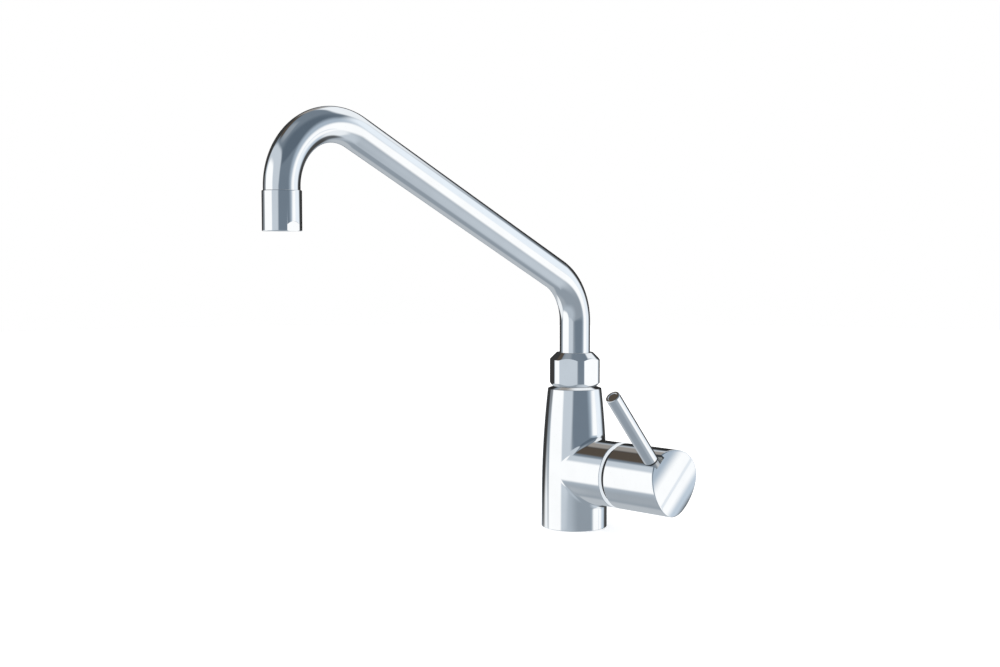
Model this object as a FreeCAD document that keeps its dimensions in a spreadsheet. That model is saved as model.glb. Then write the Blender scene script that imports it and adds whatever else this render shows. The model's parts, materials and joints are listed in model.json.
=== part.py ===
import FreeCAD, Part
import math
import os
import types

import Sketcher
from FreeCAD import Placement, Rotation, Vector

# Driving sizes in millimetres and degrees, each written once.
# The part stands on its base at Z 0. The spout points along -Y and the handle along +X.
SIZES = {
    # Body
    "base_radius": 23.75,
    "base_edge": 0.5,
    "straight_height": 22,
    "column_height": 100.9,
    "neck_radius": 19.4,
    "throat_radius": 15.2,
    "throat_height": 1.5,
    "branch_height": 42,
    "branch_radius": 23.1,
    "branch_length": 43,
    "branch_fillet": 2.2,
    "recess_radius": 18.6,
    "recess_depth": 8,
    "groove_radius": 21,
    "groove_width": 2.2,
    "groove_depth": 2,
    # Waterways and threads under the base
    "inlet_radius": 4.5,
    "inlet_depth": 12,
    "inlet_setback": 2,
    "port_offset": 13.4,
    "port_radius": 2.6,
    "riser_radius": 3.1,
    "waterway_radius": 5.2,
    "outlet_port_radius": 4.6,
    "stud_radius": 3.4,
    "stud_offset": 11.5,
    "stud_depth": 12,
    # Cartridge seat in the branch
    "seat_depth_x": 6,
    "seat_radius": 17.8,
    "mouth_radius": 19,
    # Spout joint
    "nipple_length": 11.6,
    "nipple_radius": 13.2,
    "socket_radius": 10.5,
    "socket_depth": 34,
    "collar_reach": 30,
    "collar_bore": 8,
    "flange_radius": 12.9,
    "flange_thickness": 2.5,
    "stub_length": 9.6,
    "slip_thickness": 0.8,
    "spout_seal_low": 8,
    "spout_seal_high": 18,
    "oring_section": 0.68,
    # Swivel nut
    "nut_radius": 18.35,
    "nut_across_flats": 34,
    "nut_height": 24.3,
    "nut_lift": 0.3,
    "nut_turn": 56,
    "nut_top_radius": 12.6,
    "nut_chamfer_height": 5,
    "nut_foot_radius": 15,
    "nut_foot_height": 2.3,
    # Spout tube
    "tube_radius": 11,
    "tube_wall": 1,
    "tube_rise": 149.4,
    "tube_slope": 26.25,
    "bend_radius": 38.6,
    "spout_reach": 259,
    "hook_drop": 26.2,
    # Outlet sleeve and aerator
    "sleeve_radius": 11.8,
    "sleeve_length": 24.05,
    "sleeve_edge": 0.4,
    "sleeve_grip": 8.5,
    "sleeve_bore": 10.6,
    "sleeve_flats": 22,
    "flat_cutter_radius": 5.8,
    "aerator_recess": 1.6,
    "aerator_wall": 1.6,
    "aerator_seal_thickness": 1.5,
    "grid_thickness": 2,
    "grid_hole": 1.7,
    "grid_pitch": 2.3,
    "grid_count": 5,
    "screen_thickness": 0.6,
    "screen_rise": 3,
    # Cartridge
    "housing_radius": 17.6,
    "housing_gap": 0.3,
    "housing_base": 3.7,
    "housing_length": 27,
    "neck_tube_radius": 14,
    "neck_tube_reach": 13.1,
    "liner_bore": 10.5,
    "liner_radius": 10.45,
    "liner_end": 38.6,
    "side_port_station": 16,
    "side_port_radius": 2.2,
    "port_seal_width": 1.5,
    "port_seal_sink": 1,
    "body_seal_station": 27,
    "nut_ring_width": 2,
    "nut_ring_radius": 19.3,
    "nut_ring_slot": 4,
    "nut_ring_slots": 4,
    "washer_thickness": 2.9,
    "washer_radius": 17,
    # Spool
    "spool_radius": 7.9,
    "spool_start": 19.6,
    "spool_end": 38,
    "spool_bore": 4,
    "spool_waist_radius": 5.8,
    "spool_waist_start": 25,
    "spool_waist_end": 31,
    "stem_radius": 4,
    "stem_head_setback": 5.4,
    "stem_head_radius": 7.5,
    "stem_head_wall": 1.6,
    "stem_head_flat": 2.6,
    "gland_length": 8,
    "stem_seal_offset": 2.04,
    "gland_clip_thickness": 1,
    "gland_clip_depth": 0.8,
    # Handle
    "trim_width": 2.4,
    "trim_radius": 20.4,
    "trim_round": 0.4,
    "cap_gap": 1.7,
    "cap_edge": 0.4,
    "cap_wall": 2.5,
    "cap_length": 41.3,
    "cap_crown_radius": 65.8,
    "cap_crown_offset": 2.7,
    "cap_end_wall": 0.9,
    "cap_recess_radius": 9,
    "cap_recess_depth": 1.6,
    "hub_length": 10,
    "hub_clip_thickness": 1.2,
    "hub_clip_radius": 16.2,
    "hub_clip_sink": 0.8,
    "clip_bay_radius": 17.2,
    "clip_bay_length": 5,
    "carrier_bore": 8.4,
    "cap_screw_radius": 2,
    "cap_screw_length": 6.8,
    "cap_screw_sink": 1.1,
    # Lever
    "lever_lean_angle": 41,
    "lever_setback": 6,
    "lever_radius": 5,
    "lever_tip": 83.8,
    "lever_edge": 0.5,
    "lever_tip_dish": 3.4,
    "lever_tip_sink": 0.5,
    "lever_throw_angle": 25,
    "fulcrum_radius": 17,
    "pin_radius": 1.5,
    "pin_length": 16,
    "knuckle_radius": 4.8,
    "knuckle_start": 12,
    "lever_foot": 21.3,
    "lever_stud_radius": 2.5,
    "lever_stud_length": 8,
    "knuckle_taper": 2,
    "arm_radius": 2.4,
    "ball_radius": 3.2,
    # How far a cutter runs past the metal
    "overrun": 1,
    # Clearances
    "running_fit": 0.06,
    "thread_fit": 0.05,
    "seat_fit": 0.02,
    "slip_gap": 0.1,
    "ball_play": 0.3,
    "slot_play": 0.35,
}


class Size:
    """A number with the sheet expression it comes from."""

    def __init__(self, text, value):
        self.text = text
        self.value = value

    def __add__(self, other):
        return combine("+", self, other, self.value + number(other))

    def __radd__(self, other):
        return combine("+", other, self, number(other) + self.value)

    def __sub__(self, other):
        return combine("-", self, other, self.value - number(other))

    def __rsub__(self, other):
        return combine("-", other, self, number(other) - self.value)

    def __mul__(self, other):
        return combine("*", self, other, self.value * number(other))

    def __rmul__(self, other):
        return combine("*", other, self, number(other) * self.value)

    def __truediv__(self, other):
        return combine("/", self, other, self.value / number(other))

    def __neg__(self):
        return Size("(-1 * %s)" % self.text, -self.value)


def number(item):
    return item.value if isinstance(item, Size) else float(item)


def words(item):
    return item.text if isinstance(item, Size) else repr(float(item))


def combine(sign, left, right, value):
    return Size("(%s %s %s)" % (words(left), sign, words(right)), value)


def root_of(item):
    return Size("sqrt(%s)" % item.text, math.sqrt(item.value))


def sine(angle):
    return Size("sin(%s * 1 deg)" % angle.text, math.sin(math.radians(angle.value)))


def cosine(angle):
    return Size("cos(%s * 1 deg)" % angle.text, math.cos(math.radians(angle.value)))


doc = FreeCAD.newDocument("mixer_tap")
sheet = doc.addObject("Spreadsheet::Sheet", "sizes")
for row, (alias, amount) in enumerate(SIZES.items(), start=1):
    sheet.set("A%d" % row, alias)
    sheet.set("B%d" % row, str(amount))
    sheet.setAlias("B%d" % row, alias)
doc.recompute()
S = types.SimpleNamespace(**{alias: Size("sizes." + alias, float(amount)) for alias, amount in SIZES.items()})

# Places that several pieces share
zero = Size("0", 0.0)
seat_top = S.column_height + S.throat_height
nipple_top = seat_top + S.nipple_length
flange_low = nipple_top + S.slip_thickness + S.slip_gap
flange_high = flange_low + S.flange_thickness
nut_shelf = flange_high + S.slip_gap + S.slip_thickness
nut_low = seat_top + S.nut_lift
nut_high = nut_low + S.nut_height
collar_low = flange_low - S.collar_reach
collar_radius = S.socket_radius - S.running_fit
slope_rise = (S.spout_reach - 2 * S.bend_radius) * (sine(S.tube_slope) / cosine(S.tube_slope))
sleeve_low = S.tube_rise + slope_rise - S.hook_drop
sleeve_high = sleeve_low + S.sleeve_length
tube_end = sleeve_high - S.sleeve_grip
aerator_low = sleeve_low + S.aerator_recess
aerator_high = tube_end - S.aerator_seal_thickness
aerator_radius = S.sleeve_bore - S.thread_fit
grid_high = aerator_low + S.grid_thickness
aerator_bore = aerator_radius - S.aerator_wall
housing_start = S.seat_depth_x + S.housing_gap
housing_end = housing_start + S.housing_length
housing_bore_start = housing_start + S.housing_base
gland_end = S.liner_end + S.gland_length
nut_ring_end = S.branch_length + S.nut_ring_width
washer_end = nut_ring_end + S.washer_thickness
neck_tube_end = washer_end + S.neck_tube_reach
trim_end = S.branch_length + S.trim_width
cap_start = trim_end + S.cap_gap
cap_rim = cap_start + S.cap_length
lever_station = cap_rim - S.lever_setback
stem_head_start = lever_station - S.stem_head_setback
cap_bore = S.branch_radius - S.cap_wall
cap_floor = cap_rim - S.cap_end_wall
crown_reach = S.branch_radius + S.cap_crown_offset
crown_centre = cap_rim - root_of(S.cap_crown_radius * S.cap_crown_radius - crown_reach * crown_reach)
hub_start = washer_end + S.slip_gap
hub_end = hub_start + S.hub_length
cap_screw_station = hub_start + S.hub_length / 2
hub_radius = cap_bore - S.slip_gap
clip_start = hub_end + S.slip_gap
slot_half = S.lever_radius + S.slot_play
ball_slot_start = lever_station - S.ball_radius - S.ball_play
ball_slot_end = lever_station + S.ball_radius + S.ball_play
stem_head_end = ball_slot_end + S.stem_head_wall

made = []


def bind(thing, **values):
    """Set properties from sizes, so that they follow the sheet."""
    for name, item in values.items():
        setattr(thing, name, number(item))
        if isinstance(item, Size):
            thing.setExpression(name, item.text)


def place(thing, frame):
    """Put a piece in the frame of the column, the handle or the lever."""
    if frame == "column":
        return
    along = lever_station if frame == "lever" else zero
    tilt = zero if frame == "branch" else S.lever_lean_angle
    thing.Placement = Placement(
        Vector(along.value, 0, S.branch_height.value), Rotation(Vector(1, 0, 0), tilt.value))
    thing.setExpression("Placement.Base.x", along.text)
    thing.setExpression("Placement.Base.z", S.branch_height.text)
    thing.setExpression("Placement.Rotation.Angle", tilt.text)


def new_body(name, frame="column"):
    body = doc.addObject("PartDesign::Body", name)
    body.Label = name
    place(body, frame)
    made.append(body)
    return body


def origin_plane(body, role):
    return next(item for item in body.Origin.OriginFeatures if item.Role == role)


def new_sketch(body, name, role, offset=None):
    sketch = body.newObject("Sketcher::SketchObject", body.Name + "_" + name)
    sketch.AttachmentSupport = (origin_plane(body, role), [""])
    sketch.MapMode = "FlatFace"
    if offset is not None:
        sketch.AttachmentOffset = Placement(Vector(0, 0, number(offset)), Rotation())
        if isinstance(offset, Size):
            sketch.setExpression("AttachmentOffset.Base.z", offset.text)
    return sketch


def fix(sketch, kind, reference, item):
    """Add a dimension and tie it to the sheet."""
    index = sketch.addConstraint(Sketcher.Constraint(kind, *reference, number(item)))
    if isinstance(item, Size):
        sketch.setExpression("Constraints[%d]" % index, item.text)


def outline(sketch, corners, bulges=None):
    """Draw a closed outline through (x, y) corners. bulges maps an edge to its arc centre (x, y, side),
    where side is 1 for an arc that turns left."""
    bulges = bulges or {}
    points = [Vector(number(x), number(y), 0) for x, y in corners]
    count = len(points)
    first = sketch.GeometryCount
    starts = []
    for edge in range(count):
        here = points[edge]
        there = points[(edge + 1) % count]
        if edge not in bulges:
            sketch.addGeometry(Part.LineSegment(here, there))
            starts.append((1, 2))
            continue
        middle_x, middle_y, side = bulges[edge]
        middle = Vector(number(middle_x), number(middle_y), 0)
        angles = [math.atan2(p.y - middle.y, p.x - middle.x) for p in (here, there)]
        circle = Part.Circle(middle, Vector(0, 0, 1), (here - middle).Length)
        ordered = angles if side > 0 else angles[::-1]
        sketch.addGeometry(Part.ArcOfCircle(circle, *ordered))
        starts.append((1, 2) if side > 0 else (2, 1))
    for edge in range(count):
        following = (edge + 1) % count
        sketch.addConstraint(Sketcher.Constraint(
            "Coincident", first + edge, starts[edge][1], first + following, starts[following][0]))
    for edge, (x, y) in enumerate(corners):
        fix(sketch, "DistanceX", (-1, 1, first + edge, starts[edge][0]), x)
        fix(sketch, "DistanceY", (-1, 1, first + edge, starts[edge][0]), y)
    for edge, (middle_x, middle_y, side) in bulges.items():
        chord = points[(edge + 1) % count] - points[edge]
        if abs(chord.x) < abs(chord.y):
            fix(sketch, "DistanceX", (-1, 1, first + edge, 3), middle_x)
        else:
            fix(sketch, "DistanceY", (-1, 1, first + edge, 3), middle_y)


def circle(sketch, x, y, radius):
    index = sketch.addGeometry(Part.Circle(
        Vector(number(x), number(y), 0), Vector(0, 0, 1), number(radius)))
    fix(sketch, "DistanceX", (-1, 1, index, 3), x)
    fix(sketch, "DistanceY", (-1, 1, index, 3), y)
    fix(sketch, "Radius", (index,), radius)


def rectangle(sketch, low_x, high_x, low_y, high_y):
    outline(sketch, [(low_x, low_y), (high_x, low_y), (high_x, high_y), (low_x, high_y)])


def volume_of(body):
    return body.Shape.Volume


def feature(body, kind, name, sketch, **settings):
    """Make a feature from a sketch and check that it changed the piece."""
    before = volume_of(body) if body.Tip and not body.Shape.isNull() else 0.0
    item = body.newObject("PartDesign::" + kind, body.Name + "_" + name)
    item.Profile = sketch
    for key, setting in settings.items():
        if key == "axis":
            item.ReferenceAxis = (sketch, [setting])
        elif isinstance(setting, Size):
            bind(item, **{key: setting})
        else:
            setattr(item, key, setting)
    doc.recompute()
    change = volume_of(body) - before
    removes = kind in ("Pocket", "Groove", "SubtractivePipe")
    if (removes and change > -1e-3) or (not removes and change < 1e-3):
        raise RuntimeError("%s changed nothing" % item.Name)
    return item


def turned(name, frame, axis, corners, bulges=None):
    """A piece turned about the upright axis (V_Axis) or the branch axis (H_Axis)."""
    body = new_body(name, frame)
    sketch = new_sketch(body, "profile", "XZ_Plane")
    outline(sketch, corners, bulges)
    feature(body, "Revolution", "turning", sketch, axis=axis)
    return body


def ring(name, frame, axis, inner, outer, start, end):
    """A plain ring between two radii and two stations along its axis."""
    corners = [(inner, start), (outer, start), (outer, end), (inner, end)]
    if axis == "H_Axis":
        corners = [(station, radius) for radius, station in corners]
    return turned(name, frame, axis, corners)


def drill(body, name, role, x, y, radius, start, length, reverse=False):
    """A round hole from a plane at start, length deep, against the plane's normal or along it."""
    sketch = new_sketch(body, name, role, start)
    circle(sketch, x, y, radius)
    feature(body, "Pocket", name + "_cut", sketch, Length=length, Reversed=reverse)


def groove(body, name, axis, corners):
    sketch = new_sketch(body, name, "XZ_Plane")
    outline(sketch, corners)
    feature(body, "Groove", name + "_cut", sketch, axis=axis)


def seal_pair(name, frame, axis, radius, section, stations):
    """Round-section seals of the same size, one group."""
    body = new_body(name, frame)
    for index, station in enumerate(stations):
        sketch = new_sketch(body, "section_%d" % index, "XZ_Plane")
        place_xy = (station, radius) if axis == "H_Axis" else (radius, station)
        circle(sketch, place_xy[0], place_xy[1], section)
        item = body.newObject("PartDesign::Revolution", "%s_ring_%d" % (name, index))
        item.Profile = sketch
        item.ReferenceAxis = (sketch, [axis])
        doc.recompute()
    return body


def make_body_casting():
    """Turned column and side branch with the seat of the cartridge, the waterways and the threads."""
    edge = S.base_radius - S.base_edge
    rise = S.column_height - S.straight_height
    draw = S.base_radius - S.neck_radius
    # Radius of the arc that leaves the straight foot without a kink and ends at the neck
    swell = (rise * rise / draw + draw) / 2
    body = turned("body_casting", "column", "V_Axis", [
        (zero, zero), (edge, zero), (S.base_radius, S.base_edge),
        (S.base_radius, S.straight_height), (S.neck_radius, S.column_height),
        (S.throat_radius, seat_top), (S.nipple_radius, seat_top),
        (S.nipple_radius, nipple_top), (zero, nipple_top),
    ], {3: (S.base_radius - swell, S.straight_height, 1)})
    branch = new_sketch(body, "branch", "YZ_Plane")
    circle(branch, zero, S.branch_height, S.branch_radius)
    feature(body, "Pad", "branch_pad", branch, Length=S.branch_length)
    return body


def cut_body_casting(body):
    """Bore the seat, the socket of the spout, the waterways and the holes of the base."""
    seat_cut = S.branch_length - S.seat_depth_x
    mouth_cut = S.branch_length - housing_end + S.housing_gap
    drill(body, "seat", "YZ_Plane", zero, S.branch_height, S.seat_radius, S.branch_length, seat_cut)
    drill(body, "mouth", "YZ_Plane", zero, S.branch_height, S.mouth_radius, S.branch_length, mouth_cut)
    drill(body, "outlet", "YZ_Plane", zero, S.branch_height, S.outlet_port_radius, S.seat_depth_x,
          S.seat_depth_x)
    drill(body, "socket", "XY_Plane", zero, zero, S.socket_radius, nipple_top, S.socket_depth)
    drill(body, "riser", "XY_Plane", zero, zero, S.waterway_radius, nipple_top,
          nipple_top - S.branch_height + S.waterway_radius)
    drill(body, "recess", "XY_Plane", zero, zero, S.recess_radius, zero, S.recess_depth, True)
    drill(body, "stud", "XY_Plane", S.stud_offset, zero, S.stud_radius, S.recess_depth, S.stud_depth, True)
    for word, side in (("hot", 1), ("cold", -1)):
        offset = S.port_offset * side
        drill(body, word + "_inlet", "XY_Plane", -S.inlet_setback, offset, S.inlet_radius,
              S.recess_depth, S.inlet_depth, True)
        drill(body, word + "_riser", "XY_Plane", -S.inlet_setback, offset, S.riser_radius,
              S.recess_depth, S.branch_height - S.recess_depth + S.riser_radius, True)
        drill(body, word + "_port", "YZ_Plane", offset, S.branch_height, S.port_radius,
              S.seat_depth_x, S.seat_depth_x + S.inlet_setback)
    low = S.groove_radius - S.groove_width / 2
    high = S.groove_radius + S.groove_width / 2
    groove(body, "seal_groove", "V_Axis", [(low, zero), (high, zero), (high, S.groove_depth),
                                           (low, S.groove_depth)])


def make_spout_joint():
    """Nut, slip rings and the collar that carries the tube."""
    nut = turned("swivel_nut", "column", "V_Axis", [
        (S.nipple_radius + S.thread_fit, nut_low), (S.nut_foot_radius, nut_low),
        (S.nut_radius, nut_low + S.nut_foot_height), (S.nut_radius, nut_high - S.nut_chamfer_height),
        (S.nut_top_radius, nut_high), (S.tube_radius + S.slot_play, nut_high),
        (S.tube_radius + S.slot_play, nut_shelf), (S.nipple_radius + S.thread_fit, nut_shelf),
    ])
    mill_hexagon(nut)
    inner = S.socket_radius + S.slip_gap
    ring("lower_slip_ring", "column", "V_Axis", inner, S.flange_radius,
         nipple_top, nipple_top + S.slip_thickness)
    ring("upper_slip_ring", "column", "V_Axis", S.tube_radius + S.slot_play, S.flange_radius,
         flange_high + S.slip_gap, nut_shelf)
    stub_radius = S.tube_radius - S.tube_wall - S.thread_fit
    collar = turned("spout_collar", "column", "V_Axis", [
        (S.collar_bore, collar_low), (collar_radius, collar_low), (collar_radius, flange_low),
        (S.flange_radius, flange_low), (S.flange_radius, flange_high), (stub_radius, flange_high),
        (stub_radius, flange_high + S.stub_length), (S.collar_bore, flange_high + S.stub_length),
    ])
    stations = (collar_low + S.spout_seal_low, collar_low + S.spout_seal_high)
    deep = collar_radius - 2 * S.oring_section
    half = S.oring_section + S.slip_gap
    for index, station in enumerate(stations):
        groove(collar, "seal_groove_%d" % index, "V_Axis", [
            (deep, station - half), (S.flange_radius, station - half),
            (S.flange_radius, station + half), (deep, station + half)])
    seal_pair("spout_seals", "column", "V_Axis", collar_radius - S.oring_section,
              S.oring_section, stations)


def mill_hexagon(nut):
    """Cut six flats: one corner-to-corner slab of waste turned round the axis."""
    across = S.nut_across_flats / 2
    waste = new_sketch(nut, "flat", "XY_Plane", nut_low)
    rectangle(waste, across, S.nut_radius + S.overrun, -S.nut_radius, S.nut_radius)
    waste.AttachmentOffset = Placement(
        Vector(0, 0, nut_low.value), Rotation(Vector(0, 0, 1), S.nut_turn.value))
    waste.setExpression("AttachmentOffset.Rotation.Angle", S.nut_turn.text)
    flat = feature(nut, "Pocket", "flat_cut", waste, Length=S.nut_height, Reversed=True)
    pattern = nut.newObject("PartDesign::PolarPattern", "swivel_nut_flats")
    pattern.Originals = [flat]
    pattern.Axis = (nut.Origin.OriginFeatures[2], [""])
    pattern.Angle = 360
    pattern.Occurrences = 6
    nut.Tip = pattern
    doc.recompute()


def make_spout_tube():
    """One bent tube: riser, bend, long slope, hook bend and drop."""
    body = new_body("spout_tube")
    path = new_sketch(body, "path", "YZ_Plane")
    radius = S.bend_radius.value
    slope = math.radians(S.tube_slope.value)
    low = flange_high.value
    rise = S.tube_rise.value
    reach = S.spout_reach.value
    end = tube_end.value
    along = Vector(-math.cos(slope), math.sin(slope), 0)
    first = Vector(-radius, rise, 0)
    leave = first + Vector(math.sin(slope), math.cos(slope), 0) * radius
    left = Vector(-math.sin(slope), -math.cos(slope), 0) * radius
    run = (leave.x + left.x + reach - radius) / math.cos(slope)
    arrive = leave + along * run
    second = arrive + left
    drop = second - Vector(radius, 0, 0)
    normal = Vector(0, 0, 1)
    path.addGeometry(Part.LineSegment(Vector(0, low, 0), Vector(0, rise, 0)))
    path.addGeometry(Part.ArcOfCircle(Part.Circle(first, normal, radius), 0, math.pi / 2 - slope))
    path.addGeometry(Part.LineSegment(leave, arrive))
    path.addGeometry(Part.ArcOfCircle(Part.Circle(second, normal, radius), math.pi / 2 - slope, math.pi))
    path.addGeometry(Part.LineSegment(drop, Vector(drop.x, end, 0)))
    for index in range(4):
        path.addConstraint(Sketcher.Constraint("Tangent", index, 2, index + 1, 1))
    fix(path, "DistanceX", (-1, 1, 0, 1), zero)
    fix(path, "DistanceY", (-1, 1, 0, 1), flange_high)
    path.addConstraint(Sketcher.Constraint("Vertical", 0))
    path.addConstraint(Sketcher.Constraint("Vertical", 4))
    fix(path, "DistanceY", (-1, 1, 0, 2), S.tube_rise)
    fix(path, "Radius", (1,), S.bend_radius)
    fix(path, "Radius", (3,), S.bend_radius)
    angle = path.addConstraint(Sketcher.Constraint("Angle", 2, math.pi - slope))
    path.setExpression("Constraints[%d]" % angle, "(180 - %s) * 1 deg" % S.tube_slope.text)
    fix(path, "DistanceX", (4, 2, -1, 1), S.spout_reach)
    fix(path, "DistanceY", (-1, 1, 4, 2), tube_end)
    for name, kind, size in (("outside", "AdditivePipe", S.tube_radius),
                             ("inside", "SubtractivePipe", S.tube_radius - S.tube_wall)):
        section = new_sketch(body, name, "XY_Plane", flange_high)
        circle(section, zero, zero, size)
        feature(body, kind, name + "_sweep", section, Spine=(path, [""]))


def make_outlet():
    """Sleeve with two spanner flats, and the aerator inside it."""
    sleeve = turned("outlet_sleeve", "column", "V_Axis", [
        (S.sleeve_bore, sleeve_low), (S.sleeve_radius - S.sleeve_edge, sleeve_low),
        (S.sleeve_radius, sleeve_low + S.sleeve_edge), (S.sleeve_radius, sleeve_high - S.sleeve_edge),
        (S.sleeve_radius - S.sleeve_edge, sleeve_high), (S.tube_radius + S.thread_fit, sleeve_high),
        (S.tube_radius + S.thread_fit, tube_end), (S.sleeve_bore, tube_end),
    ])
    for word, side in (("left", -1), ("right", 1)):
        drill(sleeve, word + "_flat", "YZ_Plane", zero, sleeve_low, S.flat_cutter_radius,
              S.sleeve_flats / 2 * side, S.sleeve_radius, side > 0)
    aerator = turned("aerator_body", "column", "V_Axis", [
        (aerator_bore, aerator_low), (aerator_radius, aerator_low), (aerator_radius, aerator_high),
        (aerator_bore, aerator_high),
    ])
    seal = ring("aerator_seal", "column", "V_Axis", aerator_bore, aerator_radius, aerator_high, tube_end)
    grid = make_grid()
    top = grid_high + S.screen_rise
    dome = turned("aerator_screen", "column", "V_Axis", [
        (zero, top), (aerator_bore - S.seat_fit, grid_high),
        (aerator_bore - S.seat_fit, grid_high + S.screen_thickness), (zero, top + S.screen_thickness),
    ])
    for piece in (sleeve, aerator, seal, grid, dome):
        piece.Placement.Base = Vector(0, -S.spout_reach.value, 0)
        piece.setExpression("Placement.Base.y", (-S.spout_reach).text)


def make_grid():
    """Round outlet grid with rows and columns of square holes."""
    grid = turned("aerator_grid", "column", "V_Axis", [
        (zero, aerator_low), (aerator_bore - S.seat_fit, aerator_low),
        (aerator_bore - S.seat_fit, grid_high), (zero, grid_high),
    ])
    start = -S.grid_pitch * (S.grid_count - 1) / 2 - S.grid_hole / 2
    hole = new_sketch(grid, "hole", "XY_Plane", aerator_low)
    rectangle(hole, start, start + S.grid_hole, start, start + S.grid_hole)
    item = feature(grid, "Pocket", "hole_cut", hole, Length=S.grid_thickness, Reversed=True)
    rows = grid.newObject("PartDesign::MultiTransform", "aerator_grid_holes")
    rows.Originals = [item]
    steps = []
    for name, axis in (("along_x", "H_Axis"), ("along_y", "V_Axis")):
        step = grid.newObject("PartDesign::LinearPattern", "aerator_grid_" + name)
        step.Direction = (hole, [axis])
        step.Mode = "Spacing"
        bind(step, Offset=S.grid_pitch)
        step.setExpression("Occurrences", S.grid_count.text)
        steps.append(step)
    rows.Transformations = steps
    grid.Tip = rows
    doc.recompute()
    return grid


def make_cartridge():
    """Fixed pieces of the cartridge in the branch."""
    housing = turned("cartridge_housing", "branch", "H_Axis", [
        (housing_start, S.outlet_port_radius), (housing_start, S.housing_radius),
        (housing_end, S.housing_radius), (housing_end, S.neck_tube_radius),
        (neck_tube_end, S.neck_tube_radius), (neck_tube_end, S.liner_bore),
        (housing_bore_start, S.liner_bore), (housing_bore_start, S.outlet_port_radius),
    ])
    seal_recess = S.port_seal_sink
    drill(housing, "outlet_recess", "YZ_Plane", zero, zero, S.outlet_port_radius + S.port_seal_width,
          housing_start, seal_recess, True)
    for word, side in (("hot", 1), ("cold", -1)):
        offset = S.port_offset * side
        drill(housing, word + "_recess", "YZ_Plane", offset, zero, S.port_radius + S.port_seal_width,
              housing_start, seal_recess, True)
        drill(housing, word + "_port", "YZ_Plane", offset, zero, S.port_radius,
              housing_start, S.side_port_station - housing_start, True)
        drill(housing, word + "_side_port", "XZ_Plane", S.side_port_station, zero,
              S.side_port_radius, -offset, S.port_offset - S.liner_bore / 2, side > 0)
    deep = S.housing_radius - 2 * S.oring_section
    half = S.oring_section + S.slip_gap
    groove(housing, "body_seal_groove", "H_Axis", [
        (S.body_seal_station - half, deep), (S.body_seal_station + half, deep),
        (S.body_seal_station + half, S.housing_radius), (S.body_seal_station - half, S.housing_radius)])
    clip_low = S.neck_tube_radius - S.hub_clip_sink
    groove(housing, "hub_clip_groove", "H_Axis", [
        (clip_start, clip_low), (clip_start + S.hub_clip_thickness, clip_low),
        (clip_start + S.hub_clip_thickness, S.neck_tube_radius), (clip_start, S.neck_tube_radius)])
    clip_high = S.liner_bore + S.gland_clip_depth
    groove(housing, "gland_clip_groove", "H_Axis", [
        (gland_end, S.liner_bore), (gland_end + S.gland_clip_thickness, S.liner_bore),
        (gland_end + S.gland_clip_thickness, clip_high), (gland_end, clip_high)])
    seal_pair("housing_seal", "branch", "H_Axis", S.housing_radius - S.oring_section,
              S.oring_section, (S.body_seal_station,))
    make_port_seals()
    make_port_sleeve()
    make_retaining_nut()
    ring("thrust_washer", "branch", "H_Axis", S.neck_tube_radius + S.seat_fit, S.washer_radius,
         nut_ring_end, washer_end)
    make_clip("hub_clip", clip_start, S.hub_clip_thickness, clip_low, S.hub_clip_radius)
    make_clip("gland_clip", gland_end, S.gland_clip_thickness, S.stem_head_radius + S.slip_gap, clip_high)


def make_port_seals():
    """Three flat seals between the housing and the floor of its seat."""
    body = new_body("port_seals", "branch")
    sketch = new_sketch(body, "rings", "YZ_Plane", S.seat_depth_x)
    for offset, radius in ((zero, S.outlet_port_radius), (S.port_offset, S.port_radius),
                           (-S.port_offset, S.port_radius)):
        circle(sketch, offset, zero, radius + S.seat_fit)
        circle(sketch, offset, zero, radius + S.port_seal_width - S.seat_fit)
    feature(body, "Pad", "rings_pad", sketch, Length=S.housing_gap + S.port_seal_sink)


def make_port_sleeve():
    """Sleeve in which the spool runs, with a port on each side."""
    sleeve = ring("port_sleeve", "branch", "H_Axis", S.spool_radius + S.running_fit, S.liner_radius,
                  housing_bore_start, S.liner_end)
    for word, side in (("hot", 1), ("cold", -1)):
        drill(sleeve, word + "_port", "XZ_Plane", S.side_port_station, zero, S.side_port_radius,
              -S.liner_bore * side, S.liner_bore, side > 0)


def make_retaining_nut():
    """Threaded ring that holds the cartridge in the branch, with four spanner slots."""
    body = turned("retaining_nut", "branch", "H_Axis", [
        (housing_end, S.neck_tube_radius + S.seat_fit), (housing_end, S.mouth_radius - S.thread_fit),
        (S.branch_length, S.mouth_radius - S.thread_fit), (S.branch_length, S.nut_ring_radius),
        (nut_ring_end, S.nut_ring_radius), (nut_ring_end, S.neck_tube_radius + S.seat_fit),
    ])
    slot = new_sketch(body, "slot", "YZ_Plane", nut_ring_end)
    half = S.nut_ring_slot / 2
    rectangle(slot, -half, half, S.washer_radius, S.nut_ring_radius + S.overrun)
    item = feature(body, "Pocket", "slot_cut", slot, Length=nut_ring_end - S.branch_length)
    pattern = body.newObject("PartDesign::PolarPattern", "retaining_nut_slots")
    pattern.Originals = [item]
    pattern.Axis = (body.Origin.OriginFeatures[0], [""])
    pattern.Angle = 360
    pattern.setExpression("Occurrences", S.nut_ring_slots.text)
    body.Tip = pattern
    doc.recompute()


def make_clip(name, start, thickness, inner, outer):
    """Spring clip: a ring with a gap at its lower side."""
    clip = ring(name, "branch", "H_Axis", inner, outer, start, start + thickness)
    gap = new_sketch(clip, "gap", "YZ_Plane", start)
    half = (outer - inner) / 2
    rectangle(gap, -half, half, -outer - S.overrun, -inner / 2)
    feature(clip, "Pocket", "gap_cut", gap, Length=thickness, Reversed=True)


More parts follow.
